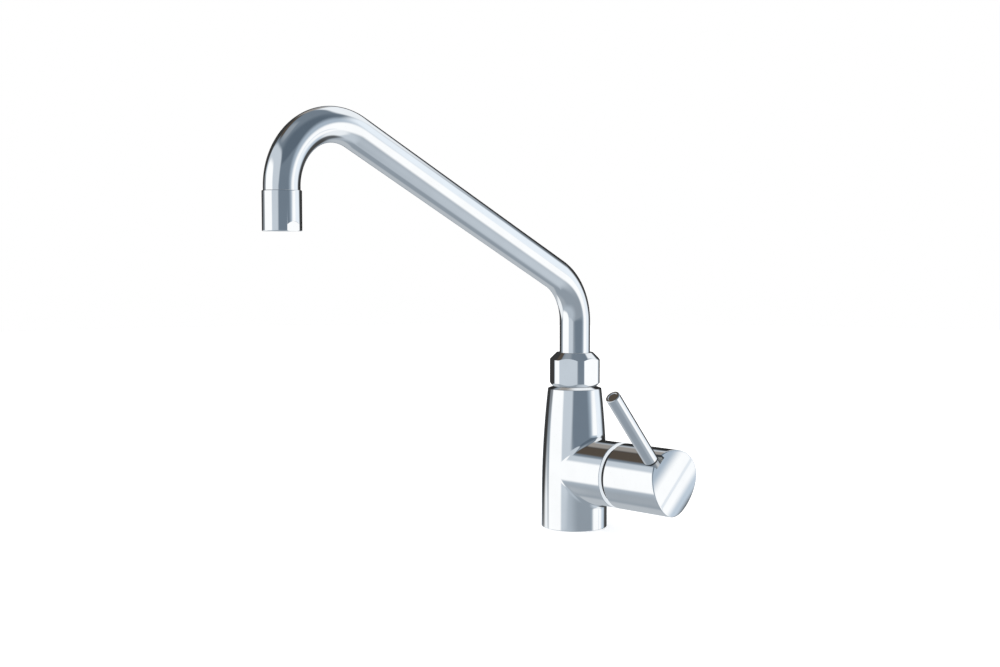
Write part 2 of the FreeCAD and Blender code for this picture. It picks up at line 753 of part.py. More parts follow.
def make_gland():
    """Bush and seals through which the stem leaves the cartridge."""
    gland = ring("stem_gland", "branch", "H_Axis", S.stem_radius + S.running_fit,
                 S.liner_radius, S.liner_end, gland_end)
    section = S.oring_section
    middle = (S.liner_end + gland_end) / 2
    stations = (middle - S.stem_seal_offset, middle + S.stem_seal_offset)
    high = S.stem_radius + S.running_fit + 2 * section
    half = section + S.slip_gap
    for index, station in enumerate(stations):
        groove(gland, "seal_groove_%d" % index, "H_Axis", [
            (station - half, S.stem_radius), (station + half, S.stem_radius),
            (station + half, high), (station - half, high)])
    seal_pair("stem_seals", "branch", "H_Axis", S.stem_radius + S.running_fit + section, section, stations)


def make_spool():
    """Spool that turns and slides, its stem and the head with the slot for the ball."""
    body = turned("spool_stem", "handle", "H_Axis", [
        (S.spool_start, S.spool_bore), (S.spool_start, S.spool_radius),
        (S.spool_waist_start, S.spool_radius), (S.spool_waist_start, S.spool_waist_radius),
        (S.spool_waist_end, S.spool_waist_radius), (S.spool_waist_end, S.spool_radius),
        (S.spool_end, S.spool_radius), (S.spool_end, S.stem_radius),
        (stem_head_start, S.stem_radius), (stem_head_start, S.stem_head_radius),
        (stem_head_end, S.stem_head_radius), (stem_head_end, zero),
        (S.spool_waist_end, zero), (S.spool_waist_end, S.spool_bore),
    ])
    slot = new_sketch(body, "slot", "XY_Plane", S.stem_head_radius)
    half = S.ball_radius + S.ball_play
    rectangle(slot, ball_slot_start, ball_slot_end, -half, half)
    feature(body, "Pocket", "slot_cut", slot, Length=S.stem_head_radius + half)
    flat = new_sketch(body, "flat", "XY_Plane", S.stem_head_radius)
    rectangle(flat, stem_head_start, stem_head_end, -S.stem_head_radius, S.stem_head_radius)
    feature(body, "Pocket", "flat_cut", flat, Length=S.stem_head_radius - S.stem_head_flat)
    cross = new_sketch(body, "cross", "XZ_Plane")
    circle(cross, (S.spool_waist_start + S.spool_waist_end) / 2, zero, S.side_port_radius)
    feature(body, "Pocket", "cross_cut", cross, Length=S.spool_radius * 2, SideType="Symmetric")
    section = S.oring_section
    stations = ((S.spool_start + S.spool_waist_start) / 2, (S.spool_waist_end + S.spool_end) / 2)
    deep = S.spool_radius - 2 * section
    half = section + S.slip_gap
    for index, station in enumerate(stations):
        groove(body, "seal_groove_%d" % index, "H_Axis", [
            (station - half, deep), (station + half, deep),
            (station + half, S.spool_radius), (station - half, S.spool_radius)])
    seal_pair("spool_seals", "handle", "H_Axis", S.spool_radius - section, section, stations)


def make_handle():
    """Trim ring, hub, carrier, cap and their screw."""
    trim = ring("trim_ring", "branch", "H_Axis", S.nut_ring_radius + S.thread_fit, S.trim_radius,
                S.branch_length, trim_end)
    base = trim.Tip
    names = outer_edges(trim, S.trim_radius.value)
    edges = trim.newObject("PartDesign::Fillet", "trim_ring_round")
    edges.Base = (base, names)
    bind(edges, Radius=S.trim_round)
    trim.Tip = edges
    hub = ring("handle_hub", "handle", "H_Axis", S.neck_tube_radius + S.running_fit, hub_radius,
               hub_start, hub_end)
    drill(hub, "screw", "XY_Plane", cap_screw_station, zero, S.cap_screw_radius + S.thread_fit,
          -hub_radius, hub_radius - S.neck_tube_radius, True)
    make_carrier()
    make_cap()
    screw_low = -S.branch_radius + S.cap_screw_sink
    screw = new_body("cap_screw", "handle")
    shank = new_sketch(screw, "shank", "XY_Plane", screw_low)
    circle(shank, cap_screw_station, zero, S.cap_screw_radius)
    feature(screw, "Pad", "shank_pad", shank, Length=S.cap_screw_length)
    make_hexagon_socket(screw, screw_low)


def make_hexagon_socket(screw, low):
    """Six-sided key socket in the outer end of the screw."""
    socket = new_sketch(screw, "socket", "XY_Plane", low)
    width = S.cap_screw_radius / 2
    corner = width * (2 / math.sqrt(3))
    half = corner / 2
    middle = cap_screw_station
    outline(socket, [
        (middle + corner, zero), (middle + half, width), (middle - half, width),
        (middle - corner, zero), (middle - half, -width), (middle + half, -width)])
    feature(screw, "Pocket", "socket_cut", socket, Length=S.cap_screw_radius, Reversed=True)


def outer_edges(body, radius):
    """Names of the round edges of a given radius."""
    names = []
    for index, edge in enumerate(body.Shape.Edges, start=1):
        curve = edge.Curve
        if isinstance(curve, Part.Circle) and abs(curve.Radius - radius) < 1e-6 and edge.isClosed():
            names.append("Edge%d" % index)
    return names


def make_carrier():
    """Insert in the cap that holds the fulcrum pin, slotted for the rocking lever."""
    body = turned("lever_carrier", "handle", "H_Axis", [
        (hub_end, S.clip_bay_radius), (hub_end, hub_radius),
        (cap_floor - S.slip_gap, hub_radius), (cap_floor - S.slip_gap, S.carrier_bore),
        (hub_end + S.clip_bay_length, S.carrier_bore), (hub_end + S.clip_bay_length, S.clip_bay_radius),
    ])
    slot = new_sketch(body, "slot", "XZ_Plane")
    reach = S.fulcrum_radius * sine(S.lever_throw_angle)
    low_x = lever_station - reach - S.arm_radius - S.lever_radius / 2
    neck_x = lever_station - slot_half - S.slot_play
    high_x = cap_rim + S.lever_radius
    high_z = S.branch_radius + S.overrun
    outline(slot, [
        (low_x, zero), (high_x, zero), (high_x, high_z), (neck_x, high_z),
        (neck_x, S.fulcrum_radius), (low_x, S.fulcrum_radius / 2)])
    feature(body, "Pocket", "slot_cut", slot, Length=2 * slot_half, SideType="Symmetric")
    pin_hole = new_sketch(body, "pin_hole", "XZ_Plane")
    circle(pin_hole, lever_station, S.fulcrum_radius, S.pin_radius + S.seat_fit)
    feature(body, "Pocket", "pin_hole_cut", pin_hole, Length=S.pin_length + S.slip_gap, SideType="Symmetric")
    pin = new_body("fulcrum_pin", "handle")
    section = new_sketch(pin, "section", "XZ_Plane")
    circle(section, lever_station, S.fulcrum_radius, S.pin_radius)
    feature(pin, "Pad", "section_pad", section, Length=S.pin_length, SideType="Symmetric")


def make_cap():
    """Cap with a crowned end and a slot, open at the rim, for the lever."""
    crown_top = crown_centre + S.cap_crown_radius
    floor = cap_floor + S.cap_recess_depth
    cap = turned("handle_cap", "handle", "H_Axis", [
        (cap_start + S.cap_edge, S.branch_radius), (crown_top, S.branch_radius),
        (crown_top, zero), (floor, zero), (floor, S.cap_recess_radius),
        (cap_floor, S.cap_recess_radius), (cap_floor, cap_bore), (cap_start, cap_bore),
        (cap_start, S.branch_radius - S.cap_edge),
    ])
    crown = new_sketch(cap, "crown", "XZ_Plane")
    wide = S.branch_radius + S.overrun
    far = crown_top + S.overrun
    low_arm = wide - S.cap_crown_offset
    high_arm = wide + S.cap_crown_offset
    low_rim = crown_centre + root_of(S.cap_crown_radius * S.cap_crown_radius - low_arm * low_arm)
    high_rim = crown_centre + root_of(S.cap_crown_radius * S.cap_crown_radius - high_arm * high_arm)
    outline(crown, [(low_rim, -wide), (far, -wide), (far, wide), (high_rim, wide)],
            {3: (crown_centre, -S.cap_crown_offset, -1)})
    feature(cap, "Pocket", "crown_cut", crown, Length=2 * wide, SideType="Symmetric")
    drill(cap, "lever_hole", "XY_Plane", lever_station, zero, slot_half, S.branch_radius,
          S.branch_radius - S.fulcrum_radius + S.cap_wall)
    fan = new_sketch(cap, "fan", "XZ_Plane")
    slant = sine(S.lever_throw_angle) / cosine(S.lever_throw_angle)
    foot = lever_station + slot_half / cosine(S.lever_throw_angle)
    top = S.branch_radius + S.overrun
    low = S.fulcrum_radius - S.cap_wall
    outline(fan, [
        (lever_station, low), (foot - S.cap_wall * slant, low),
        (foot + (top - S.fulcrum_radius) * slant, top), (lever_station, top)])
    feature(cap, "Pocket", "fan_cut", fan, Length=2 * slot_half, SideType="Symmetric")
    drill(cap, "screw_hole", "XY_Plane", cap_screw_station, zero,
          S.cap_screw_radius + S.slot_play, -S.branch_radius, S.cap_wall + S.cap_screw_radius, True)


def make_lever():
    """Rod with a dished tip, and the knuckle that it screws on to."""
    stud_top = S.lever_foot + S.lever_stud_length
    hole = S.lever_stud_radius + S.thread_fit
    turned("lever_rod", "lever", "V_Axis", [
        (hole, S.lever_foot), (S.lever_radius, S.lever_foot),
        (S.lever_radius, S.lever_tip - S.lever_edge), (S.lever_radius - S.lever_edge, S.lever_tip),
        (S.lever_tip_dish, S.lever_tip), (S.lever_tip_dish, S.lever_tip - S.lever_tip_sink),
        (zero, S.lever_tip - S.lever_tip_sink), (zero, stud_top + S.ball_play),
        (hole, stud_top + S.ball_play),
    ])
    meet = root_of(S.ball_radius * S.ball_radius - S.arm_radius * S.arm_radius)
    knuckle = turned("lever_knuckle", "lever", "V_Axis", [
        (zero, -S.ball_radius), (S.arm_radius, meet), (S.arm_radius, S.knuckle_start - S.knuckle_taper),
        (S.knuckle_radius, S.knuckle_start), (S.knuckle_radius, S.lever_foot),
        (S.lever_stud_radius, S.lever_foot), (S.lever_stud_radius, stud_top), (zero, stud_top),
    ], {0: (zero, zero, 1)})
    hole_sketch = new_sketch(knuckle, "pin_hole", "XZ_Plane")
    circle(hole_sketch, zero, S.fulcrum_radius, S.pin_radius + S.running_fit)
    feature(knuckle, "Pocket", "pin_hole_cut", hole_sketch, Length=2 * (S.knuckle_radius + S.overrun),
            SideType="Symmetric")


def make_base_seal():
    low = S.groove_radius - S.groove_width / 2 + S.slip_gap
    high = S.groove_radius + S.groove_width / 2 - S.slip_gap
    ring("base_seal", "column", "V_Axis", low, high, zero, S.groove_depth)


def round_branch(body):
    """Soften the corner where the branch leaves the column."""
    names = []
    for index, edge in enumerate(body.Shape.Edges, start=1):
        if not isinstance(edge.Curve, (Part.Circle, Part.Line)):
            names.append("Edge%d" % index)
    if not names:
        raise RuntimeError("no corner found at the branch")
    base = body.Tip
    corner = body.newObject("PartDesign::Fillet", "body_casting_corner")
    corner.Base = (base, names)
    bind(corner, Radius=S.branch_fillet)
    body.Tip = corner
    doc.recompute()


def check_and_write():
    """Stop on any failed object, then write each piece."""
    doc.recompute()
    for item in doc.Objects:
        if "Invalid" in item.State or "Error" in item.State:
            raise RuntimeError("%s failed: %s" % (item.Name, item.State))
    for body in made:
        if body.Shape.isNull() or not body.Shape.isValid():
            raise RuntimeError("%s has no valid shape" % body.Label)
    os.makedirs("parts", exist_ok=True)
    for body in made:
        body.Shape.exportStep("parts/%s.step" % body.Label)


casting = make_body_casting()
round_branch(casting)
cut_body_casting(casting)
make_base_seal()
make_spout_joint()
make_spout_tube()
make_outlet()
make_cartridge()
make_gland()
make_spool()
make_handle()
make_lever()
check_and_write()
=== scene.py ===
import json
import math

import bmesh
import bpy
from mathutils import Matrix, Vector


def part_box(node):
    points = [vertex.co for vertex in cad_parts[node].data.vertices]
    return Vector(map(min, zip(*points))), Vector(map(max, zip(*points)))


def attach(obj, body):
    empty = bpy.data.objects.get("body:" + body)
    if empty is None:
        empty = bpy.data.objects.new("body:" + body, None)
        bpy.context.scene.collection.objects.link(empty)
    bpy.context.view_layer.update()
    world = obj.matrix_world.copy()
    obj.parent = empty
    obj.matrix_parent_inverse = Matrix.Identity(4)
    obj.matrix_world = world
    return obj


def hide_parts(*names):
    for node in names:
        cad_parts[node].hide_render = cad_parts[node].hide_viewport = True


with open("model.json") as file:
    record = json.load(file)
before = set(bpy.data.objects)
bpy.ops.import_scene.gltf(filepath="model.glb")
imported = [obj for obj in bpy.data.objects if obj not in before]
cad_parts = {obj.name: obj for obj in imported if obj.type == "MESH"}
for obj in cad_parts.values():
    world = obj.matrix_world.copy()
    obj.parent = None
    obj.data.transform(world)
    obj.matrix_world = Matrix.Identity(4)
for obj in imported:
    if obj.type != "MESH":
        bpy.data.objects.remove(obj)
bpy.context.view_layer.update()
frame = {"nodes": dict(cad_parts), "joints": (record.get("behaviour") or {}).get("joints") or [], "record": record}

bl_info = {
    "name": "Single-lever mixer tap",
    "version": (1, 0, 0),
    "blender": (4, 5, 0),
    "location": "3D View > Sidebar > Mixer tap",
    "description": "Polished mixer tap with a side handle and a bent swivel spout, "
                   "built on its packed frame",
    "category": "Add Mesh",
}

MM = 0.001
JOINTS = {joint["name"]: joint for joint in frame["joints"]}

# Boxes of the packed pieces, from which the sizes below are worked out
BODY_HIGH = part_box("body_casting")[1]
NUT_LOW, NUT_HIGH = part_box("swivel_nut")
TUBE_LOW, TUBE_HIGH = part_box("spout_tube")
SLEEVE_LOW, SLEEVE_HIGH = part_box("outlet_sleeve")
RING_LOW, RING_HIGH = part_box("trim_ring")
CAP_LOW, CAP_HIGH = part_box("handle_cap")
BRANCH_HEIGHT = JOINTS["handle_turn"]["pos_m"][2]
LEVER_PIVOT = Vector(JOINTS["lever_lift"]["pos_m"])
LEVER_AXIS = Vector(JOINTS["lever_lift"]["axis"])
# The tube ends inside the sleeve, on the seal of the aerator
TUBE_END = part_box("aerator_seal")[1].z

# Roundings of small edges, and how far a cutter passes a face
SMALL_EDGE = 0.3 * MM
FINE_EDGE = 0.2 * MM
CLEARANCE = 1 * MM
# Points nearer to each other than this become one
WELD = 1e-7
# Edges that turn by more than this stay sharp in the shading
SHARP_ANGLE = math.radians(32)
# How far below the outside of the cap the painted shade of the slot begins
SLOT_SHADE_DEPTH = 0.2 * MM


def length(label, description, default):
    """A size in metres for a property group."""
    return bpy.props.FloatProperty(name=label, description=description, default=default,
                                   unit="LENGTH", subtype="DISTANCE", precision=5)


def turn(label, description, degrees):
    """An angle for a property group."""
    return bpy.props.FloatProperty(name=label, description=description, default=math.radians(degrees),
                                   unit="ROTATION", subtype="ANGLE")


def colour(label, description, default):
    return bpy.props.FloatVectorProperty(name=label, description=description, default=default,
                                         size=3, min=0, max=1, subtype="COLOR")


def share(label, description, default):
    """A plain number from nought to one."""
    return bpy.props.FloatProperty(name=label, description=description, default=default,
                                   min=0, max=1, subtype="FACTOR")


def count(label, description, default):
    return bpy.props.IntProperty(name=label, description=description, default=default, min=3)


class BodySizes(bpy.types.PropertyGroup):
    """Column, branch and the holes under the base."""
    base_radius: length("Base radius", "Radius of the column at the worktop", BODY_HIGH.y)
    base_edge: length("Base edge", "Rounding of the lower edge", 0.5 * MM)
    straight_height: length("Straight height", "Height at which the column starts to draw in", 22 * MM)
    column_height: length("Column height", "Height of the shoulder under the nut", 100.9 * MM)
    neck_radius: length("Neck radius", "Radius of the column at its shoulder", 19.4 * MM)
    neck_edge: length("Neck edge", "Rounding of the shoulder", 0.5 * MM)
    throat_radius: length("Throat radius", "Radius at the top of the sloped shoulder", 15.2 * MM)
    throat_height: length("Throat height", "Rise of the sloped shoulder", 1.5 * MM)
    nipple_radius: length("Nipple radius", "Thread on which the nut runs", 13.2 * MM)
    socket_radius: length("Socket radius", "Bore for the collar of the spout", 10.5 * MM)
    socket_depth: length("Socket depth", "Depth of that bore", 34 * MM)
    branch_radius: length("Branch radius", "Radius of the side branch", CAP_HIGH.y)
    branch_edge: length("Branch edge", "Rounding of the end of the branch", 0.4 * MM)
    corner_radius: length("Corner radius", "Hollow corner between column and branch", 4.2 * MM)
    seat_radius: length("Seat radius", "Bore for the cartridge", 17.8 * MM)
    seat_floor: length("Seat floor", "Place of the floor of that bore along the branch", 6 * MM)
    mouth_radius: length("Mouth radius", "Threaded mouth of the branch", 19 * MM)
    mouth_depth: length("Mouth depth", "Depth of that thread", 10 * MM)
    recess_radius: length("Recess radius", "Hollow under the base", 18.6 * MM)
    recess_depth: length("Recess depth", "Depth of that hollow", 8 * MM)
    groove_radius: length("Groove radius", "Middle of the groove of the base seal", 21 * MM)
    groove_width: length("Groove width", "Width of that groove", 2.2 * MM)
    groove_depth: length("Groove depth", "Depth of that groove", 2 * MM)
    inlet_radius: length("Inlet radius", "Core of the hose threads", 4.5 * MM)
    inlet_side: length("Inlet side", "Distance of each hose thread from the middle", 13.4 * MM)
    inlet_back: length("Inlet back", "Distance of the hose threads behind the middle", 2 * MM)
    stud_radius: length("Stud radius", "Core of the thread for the fixing stud", 3.4 * MM)
    stud_front: length("Stud front", "Distance of that thread in front of the middle", 11.5 * MM)
    thread_depth: length("Thread depth", "Depth of the hose and stud threads", 12 * MM)


class SpoutSizes(bpy.types.PropertyGroup):
    """Tube, outlet sleeve and swivel nut."""
    tube_radius: length("Tube radius", "Outer radius of the spout tube", TUBE_HIGH.x)
    tube_wall: length("Tube wall", "Wall of the spout tube", 1 * MM)
    tube_rise: length("Tube rise", "Height at which the first bend starts", 149.4 * MM)
    bend_radius: length("Bend radius", "Middle radius of both bends", 38.6 * MM)
    slope: turn("Slope", "Rise of the long straight run", 26.25)
    sleeve_edge: length("Sleeve edge", "Rounding of the outlet sleeve", 0.6 * MM)
    sleeve_bore: length("Sleeve bore", "Bore of the outlet sleeve", 10.6 * MM)
    flat_width: length("Flat width", "Distance across the spanner flats of the sleeve", 22 * MM)
    flat_radius: length("Flat radius", "Radius of the cutter that leaves the flats", 5.8 * MM)
    nut_radius: length("Nut radius", "Radius over the turned corners of the swivel nut", 18.35 * MM)
    nut_flats: length("Nut flats", "Distance across the flats of the swivel nut", 34 * MM)
    nut_foot: length("Nut foot", "Radius of the nut at its lower face", 16 * MM)
    nut_foot_height: length("Nut foot height", "Height of the lower chamfer", 2.4 * MM)
    nut_top: length("Nut top", "Radius of the nut at its upper face", 13.2 * MM)
    nut_top_height: length("Nut top height", "Height of the upper chamfer", 5.1 * MM)
    nut_turn: turn("Nut turn", "How far the nut stands turned", 56)
    nut_edge: length("Nut edge", "Rounding of the edges of the nut", 0.35 * MM)


class HandleSizes(bpy.types.PropertyGroup):
    """Trim ring, cap and lever."""
    ring_bore: length("Ring bore", "Bore of the trim ring", 19.25 * MM)
    ring_radius: length("Ring radius", "Outer radius of the trim ring", 20.4 * MM)
    ring_round: length("Ring round", "Rounding of the trim ring", 0.4 * MM)
    cap_wall: length("Cap wall", "Wall of the cap", 2.6 * MM)
    end_wall: length("End wall", "Wall of the cap at its end, below the lever", 0.9 * MM)
    cap_edge: length("Cap edge", "Rounding of the inner end of the cap", 0.35 * MM)
    rim_edge: length("Rim edge", "Rounding of the rim round the crowned end", 0.6 * MM)
    crown_radius: length("Crown radius", "Radius of the crowned end", 65.8 * MM)
    crown_offset: length(
        "Crown offset", "Distance of the ridge from the axis, away from the lever", 2.7 * MM)
    cap_rim: length("Cap rim", "Place of the rim below the lever along the branch", 88.4 * MM)
    slot_play: length("Slot play", "Play of the lever in its slot", 0.35 * MM)
    lever_radius: length("Lever radius", "Radius of the lever", 5 * MM)
    lever_foot: length("Lever foot", "Distance of the foot of the lever from the branch axis", 21.3 * MM)
    lever_tip: length("Lever tip", "Distance of the tip of the lever from the branch axis", 83.8 * MM)
    lever_edge: length("Lever edge", "Rounding of the tip of the lever", 0.5 * MM)
    tip_dish: length("Tip dish", "Radius of the dish in the tip", 3.4 * MM)
    tip_sink: length("Tip sink", "Depth of the dish in the tip", 0.5 * MM)
    lever_throw: turn("Lever throw", "How far the lever rocks outwards", 25)
    screw_station: length("Screw station", "Place of the grub screw along the branch axis", 53 * MM)
    screw_hole: length("Screw hole", "Radius of the hole of the grub screw", 2.35 * MM)


class Finishes(bpy.types.PropertyGroup):
    """Colours of the materials."""
    chrome: colour("Chrome", "Polished chrome plate", (0.955, 0.965, 0.97))
    chrome_gloss: share("Chrome roughness", "Roughness of the polished plate", 0.035)
    brass: colour("Brass", "Machined brass", (0.72, 0.53, 0.26))
    steel: colour("Steel", "Bright stainless steel", (0.56, 0.57, 0.58))
    plastic: colour("Plastic", "Natural acetal", (0.80, 0.80, 0.77))
    rubber: colour("Rubber", "Black sealing rubber", (0.022, 0.022, 0.024))


class Studio(bpy.types.PropertyGroup):
    """Camera, floor and light."""
    camera_place: bpy.props.FloatVectorProperty(
        name="Camera place", description="Where the camera stands", default=(0.6696, -0.7505, 0.2058),
        size=3, unit="LENGTH", subtype="TRANSLATION")
    camera_pitch: turn("Camera pitch", "Tilt of the camera from straight down", 86.28)
    camera_heading: turn("Camera heading", "Heading of the camera", 44.83)
    focal_length: bpy.props.FloatProperty(
        name="Focal length", description="Focal length in millimetres on a 36 mm sensor",
        default=50.0, min=1)
    floor_radius: length("Floor radius", "Radius of the round floor", 2.5)
    floor_colour: colour("Floor colour", "Pale floor", (0.88, 0.88, 0.88))
    room_light: share("Room light", "Level of the light that surrounds the tap", 0.72)
    round_segments: count("Segments", "Faces round each turned piece", 192)


# Meshes

class Skin:
    """Collects rows of points and the faces between them."""

    def __init__(self):
        self.points = []
        self.faces = []

    def row(self, points):
        start = len(self.points)
        self.points.extend(tuple(point) for point in points)
        return list(range(start, len(self.points)))

    def join(self, lower, upper):
        """Faces between two closed rows of equal length."""
        for index in range(len(lower)):
            following = (index + 1) % len(lower)
            self.faces.append((lower[index], lower[following], upper[following], upper[index]))

    def stack(self, rows, loop=False):
        """Faces between all the rows in order, and from the last to the first where loop is set."""
        numbered = [self.row(row) for row in rows]
        for lower, upper in zip(numbered, numbered[1:]):
            self.join(lower, upper)
        if loop:
            self.join(numbered[-1], numbered[0])
        return numbered

    def cover(self, row, flip=False):
        self.faces.append(tuple(reversed(row)) if flip else tuple(row))

    def mesh(self, name, place=None):
        """The finished mesh, with doubles merged and its faces turned outwards."""
        data = bpy.data.meshes.new(name)
        data.from_pydata(self.points, [], self.faces)
        work = bmesh.new()
        work.from_mesh(data)
        bmesh.ops.remove_doubles(work, verts=work.verts, dist=WELD)
        bmesh.ops.dissolve_degenerate(work, edges=work.edges, dist=WELD)
        bmesh.ops.recalc_face_normals(work, faces=work.faces)
        if place:
            bmesh.ops.transform(work, matrix=place, verts=work.verts)
        work.to_mesh(data)
        work.free()
        return data


def swing(centre, first, final, portion):
    """A point on the arc about a centre, part of the way between two points."""
    spoke = first - centre
    return centre + spoke.slerp(final - centre, portion) * spoke.length


def rounded(corners, steps=6, closed=True):
    """Points of an outline given as (radius, height, rounding) corners, with an arc at each rounding."""
    points = []
    last = len(corners) - 1
    for index, (radius, height, rounding) in enumerate(corners):
        here = Vector((radius, height))
        if not rounding or (not closed and index in (0, last)):
            points.append(here)
            continue
        back = (Vector(corners[index - 1][:2]) - here).normalized()
        ahead = (Vector(corners[(index + 1) % len(corners)][:2]) - here).normalized()
        half = back.angle(ahead) / 2
        centre = here + (back + ahead).normalized() * (rounding / math.sin(half))
        first = here + back * (rounding / math.tan(half))
        final = here + ahead * (rounding / math.tan(half))
        points.extend(swing(centre, first, final, step / steps) for step in range(steps + 1))
    return points


def ring_of(radius, height, angles):
    return [(radius * math.cos(angle), radius * math.sin(angle), height) for angle in angles]


def full_turn(segments):
    return [math.tau * index / segments for index in range(segments)]


def turned(name, profile, segments, place):
    """A mesh turned about the local Z axis from a closed profile."""
    skin = Skin()
    angles = full_turn(segments)
    skin.stack([ring_of(point[0], point[1], angles) for point in profile], loop=True)
    return skin.mesh(name, place)


def solid_turned(name, profile, segments, place):
    """A turned mesh whose open profile starts and ends on the axis, closed there with flat covers."""
    skin = Skin()
    angles = full_turn(segments)
    rows = skin.stack([ring_of(point[0], point[1], angles) for point in profile[1:-1]])
    skin.cover(rows[0], flip=True)
    skin.cover(rows[-1])
    return skin.mesh(name, place)


def block(name, corners, half_width):
    """A straight block over an XZ outline, as wide as twice half_width along Y."""
    skin = Skin()
    near = skin.row((x, -half_width, z) for x, z in corners)
    far = skin.row((x, half_width, z) for x, z in corners)
    skin.join(near, far)
    skin.cover(near, flip=True)
    skin.cover(far)
    return skin.mesh(name)


def object_from(name, mesh):
    piece = bpy.data.objects.new(name, mesh)
    bpy.context.scene.collection.objects.link(piece)
    return piece


def cut_away(piece, cutters):
    """Take the cutters' meshes out of the piece."""
    for index, mesh in enumerate(cutters):
        cutter = object_from("%s_cutter_%d" % (piece.name, index), mesh)
        modifier = piece.modifiers.new("cut", "BOOLEAN")
        modifier.operation = "DIFFERENCE"
        modifier.solver = "EXACT"
        modifier.object = cutter
        bpy.context.view_layer.update()
        evaluated = piece.evaluated_get(bpy.context.evaluated_depsgraph_get())
        result = bpy.data.meshes.new_from_object(evaluated)
        piece.modifiers.clear()
        if not result.polygons:
            raise RuntimeError("%s lost its faces to a cutter" % piece.name)
        piece.data = result
        bpy.data.objects.remove(cutter)


def mark_slot_shade(mesh, inside):
    """Mark the faces that get the painted shade of the slot, told by their centres."""
    mark = mesh.attributes.new("slot_shade", "FLOAT", "FACE")
    for face in mesh.polygons:
        mark.data[face.index].value = float(inside(face.center))


def finish_piece(piece, body, slot, *nodes):
    """Shade, dress and hang a piece on its body, in place of its packed nodes."""
    mesh = piece.data
    mesh.name = piece.name
    mesh.shade_smooth()
    mesh.set_sharp_from_angle(angle=SHARP_ANGLE)
    # Flat faces keep their own direction, so that the roundings beside them don't bend their reflections
    even = piece.modifiers.new("even", "WEIGHTED_NORMAL")
    even.keep_sharp = True
    even.weight = 50
    mesh.materials.clear()
    mesh.materials.append(finish(slot))
    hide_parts(*nodes)
    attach(piece, body)
    # The metal shows the room alone, as it does in the studio picture, and not its own neighbours
    piece.visible_glossy = False


def branch_place():
    """Local Z along the branch, local X along world Y and local Y straight up."""
    return Matrix(((0, 0, 1, 0), (1, 0, 0, 0), (0, 1, 0, BRANCH_HEIGHT), (0, 0, 0, 1)))


def lever_place():
    """Local Z along the lever, from the branch axis, and local X along the branch."""
    across = LEVER_AXIS.normalized()
    up = Vector((1, 0, 0)).cross(across)
    return Matrix(((1, 0, 0, LEVER_PIVOT.x), (0, across.y, up.y, 0),
                   (0, across.z, up.z, BRANCH_HEIGHT), (0, 0, 0, 1)))


# Shader maths

class Wire:
    """An output socket that takes part in Python sums."""

    def __init__(self, graph, socket):
        self.graph = graph
        self.socket = socket

    def __add__(self, other):
        return self.graph.maths("ADD", self, other)

    def __radd__(self, other):
        return self.graph.maths("ADD", other, self)

    def __sub__(self, other):
        return self.graph.maths("SUBTRACT", self, other)

    def __rsub__(self, other):
        return self.graph.maths("SUBTRACT", other, self)

    def __mul__(self, other):
        return self.graph.maths("MULTIPLY", self, other)

    def __rmul__(self, other):
        return self.graph.maths("MULTIPLY", other, self)

    def __pow__(self, other):
        return self.graph.maths("POWER", self, other)

    def __abs__(self):
        return self.graph.maths("ABSOLUTE", self)


class Graph:
    """One node tree, whose nodes all come from make."""

    def __init__(self, owner):
        owner.use_nodes = True
        self.tree = owner.node_tree
        self.tree.nodes.clear()

    def make(self, kind, settings=None, values=None, output=0):
        """A node of a kind, its settings first and then the values or wires of its sockets."""
        node = self.tree.nodes.new(kind)
        for name, setting in (settings or {}).items():
            setattr(node, name, setting)
        for socket, item in (values or {}).items():
            if isinstance(item, Wire):
                self.tree.links.new(item.socket, node.inputs[socket])
            else:
                node.inputs[socket].default_value = item
        return Wire(self, node.outputs[output]) if node.outputs else None

    def maths(self, operation, *values):
        return self.make("ShaderNodeMath", {"operation": operation}, dict(enumerate(values)))

    def split(self, vector):
        """The three numbers of a vector."""
        node = self.make("ShaderNodeSeparateXYZ", None, {"Vector": vector}).socket.node
        return [Wire(self, socket) for socket in node.outputs]

    def step(self, value, low, high):
        """Nought below low, one above high, and smooth between."""
        return self.make("ShaderNodeMapRange", {"interpolation_type": "SMOOTHSTEP", "clamp": True},
                         {"Value": value, "From Min": low, "From Max": high})

    def spread(self, value, high):
        """A value from nought to one spread over nought to high."""
        return self.make("ShaderNodeMapRange", {"clamp": True}, {"Value": value, "To Max": high})

    def blend(self, factor, first, second):
        """A colour between two colours. The node's colour sockets are told by number, as names repeat."""
        return self.make("ShaderNodeMix", {"data_type": "RGBA"}, {0: factor, 6: first, 7: second}, 2)

    def place(self):
        return self.make("ShaderNodeTexCoord", output="Object")

    def ray(self, kind):
        """One where the light path is of a kind, such as Camera or Glossy."""
        return self.make("ShaderNodeLightPath", output="Is %s Ray" % kind)

    def stretched(self, scale):
        """Object coordinates scaled by three numbers."""
        return self.make("ShaderNodeVectorMath", {"operation": "MULTIPLY"}, {0: self.place(), 1: scale})

    def noise(self, scale, detail, roughness, vector=None):
        return self.make("ShaderNodeTexNoise", None, {
            "Vector": vector or self.place(), "Scale": scale, "Detail": detail, "Roughness": roughness})

    def bump(self, height, distance, strength):
        return self.make("ShaderNodeBump", None, {
            "Height": height, "Distance": distance, "Strength": strength})

    def surface(self, **values):
        """The principled shader and the output."""
        named = {key.replace("_", " "): item for key, item in values.items()}
        shader = self.make("ShaderNodeBsdfPrincipled", None, named)
        self.make("ShaderNodeOutputMaterial", None, {"Surface": shader})


def opaque(shade, factor=1.0):
    """A colour with full alpha, made lighter or darker by a factor."""
    return tuple(min(1.0, part * factor) for part in shade) + (1.0,)


def new_graph(name):
    material = bpy.data.materials.new(name)
    return material, Graph(material)


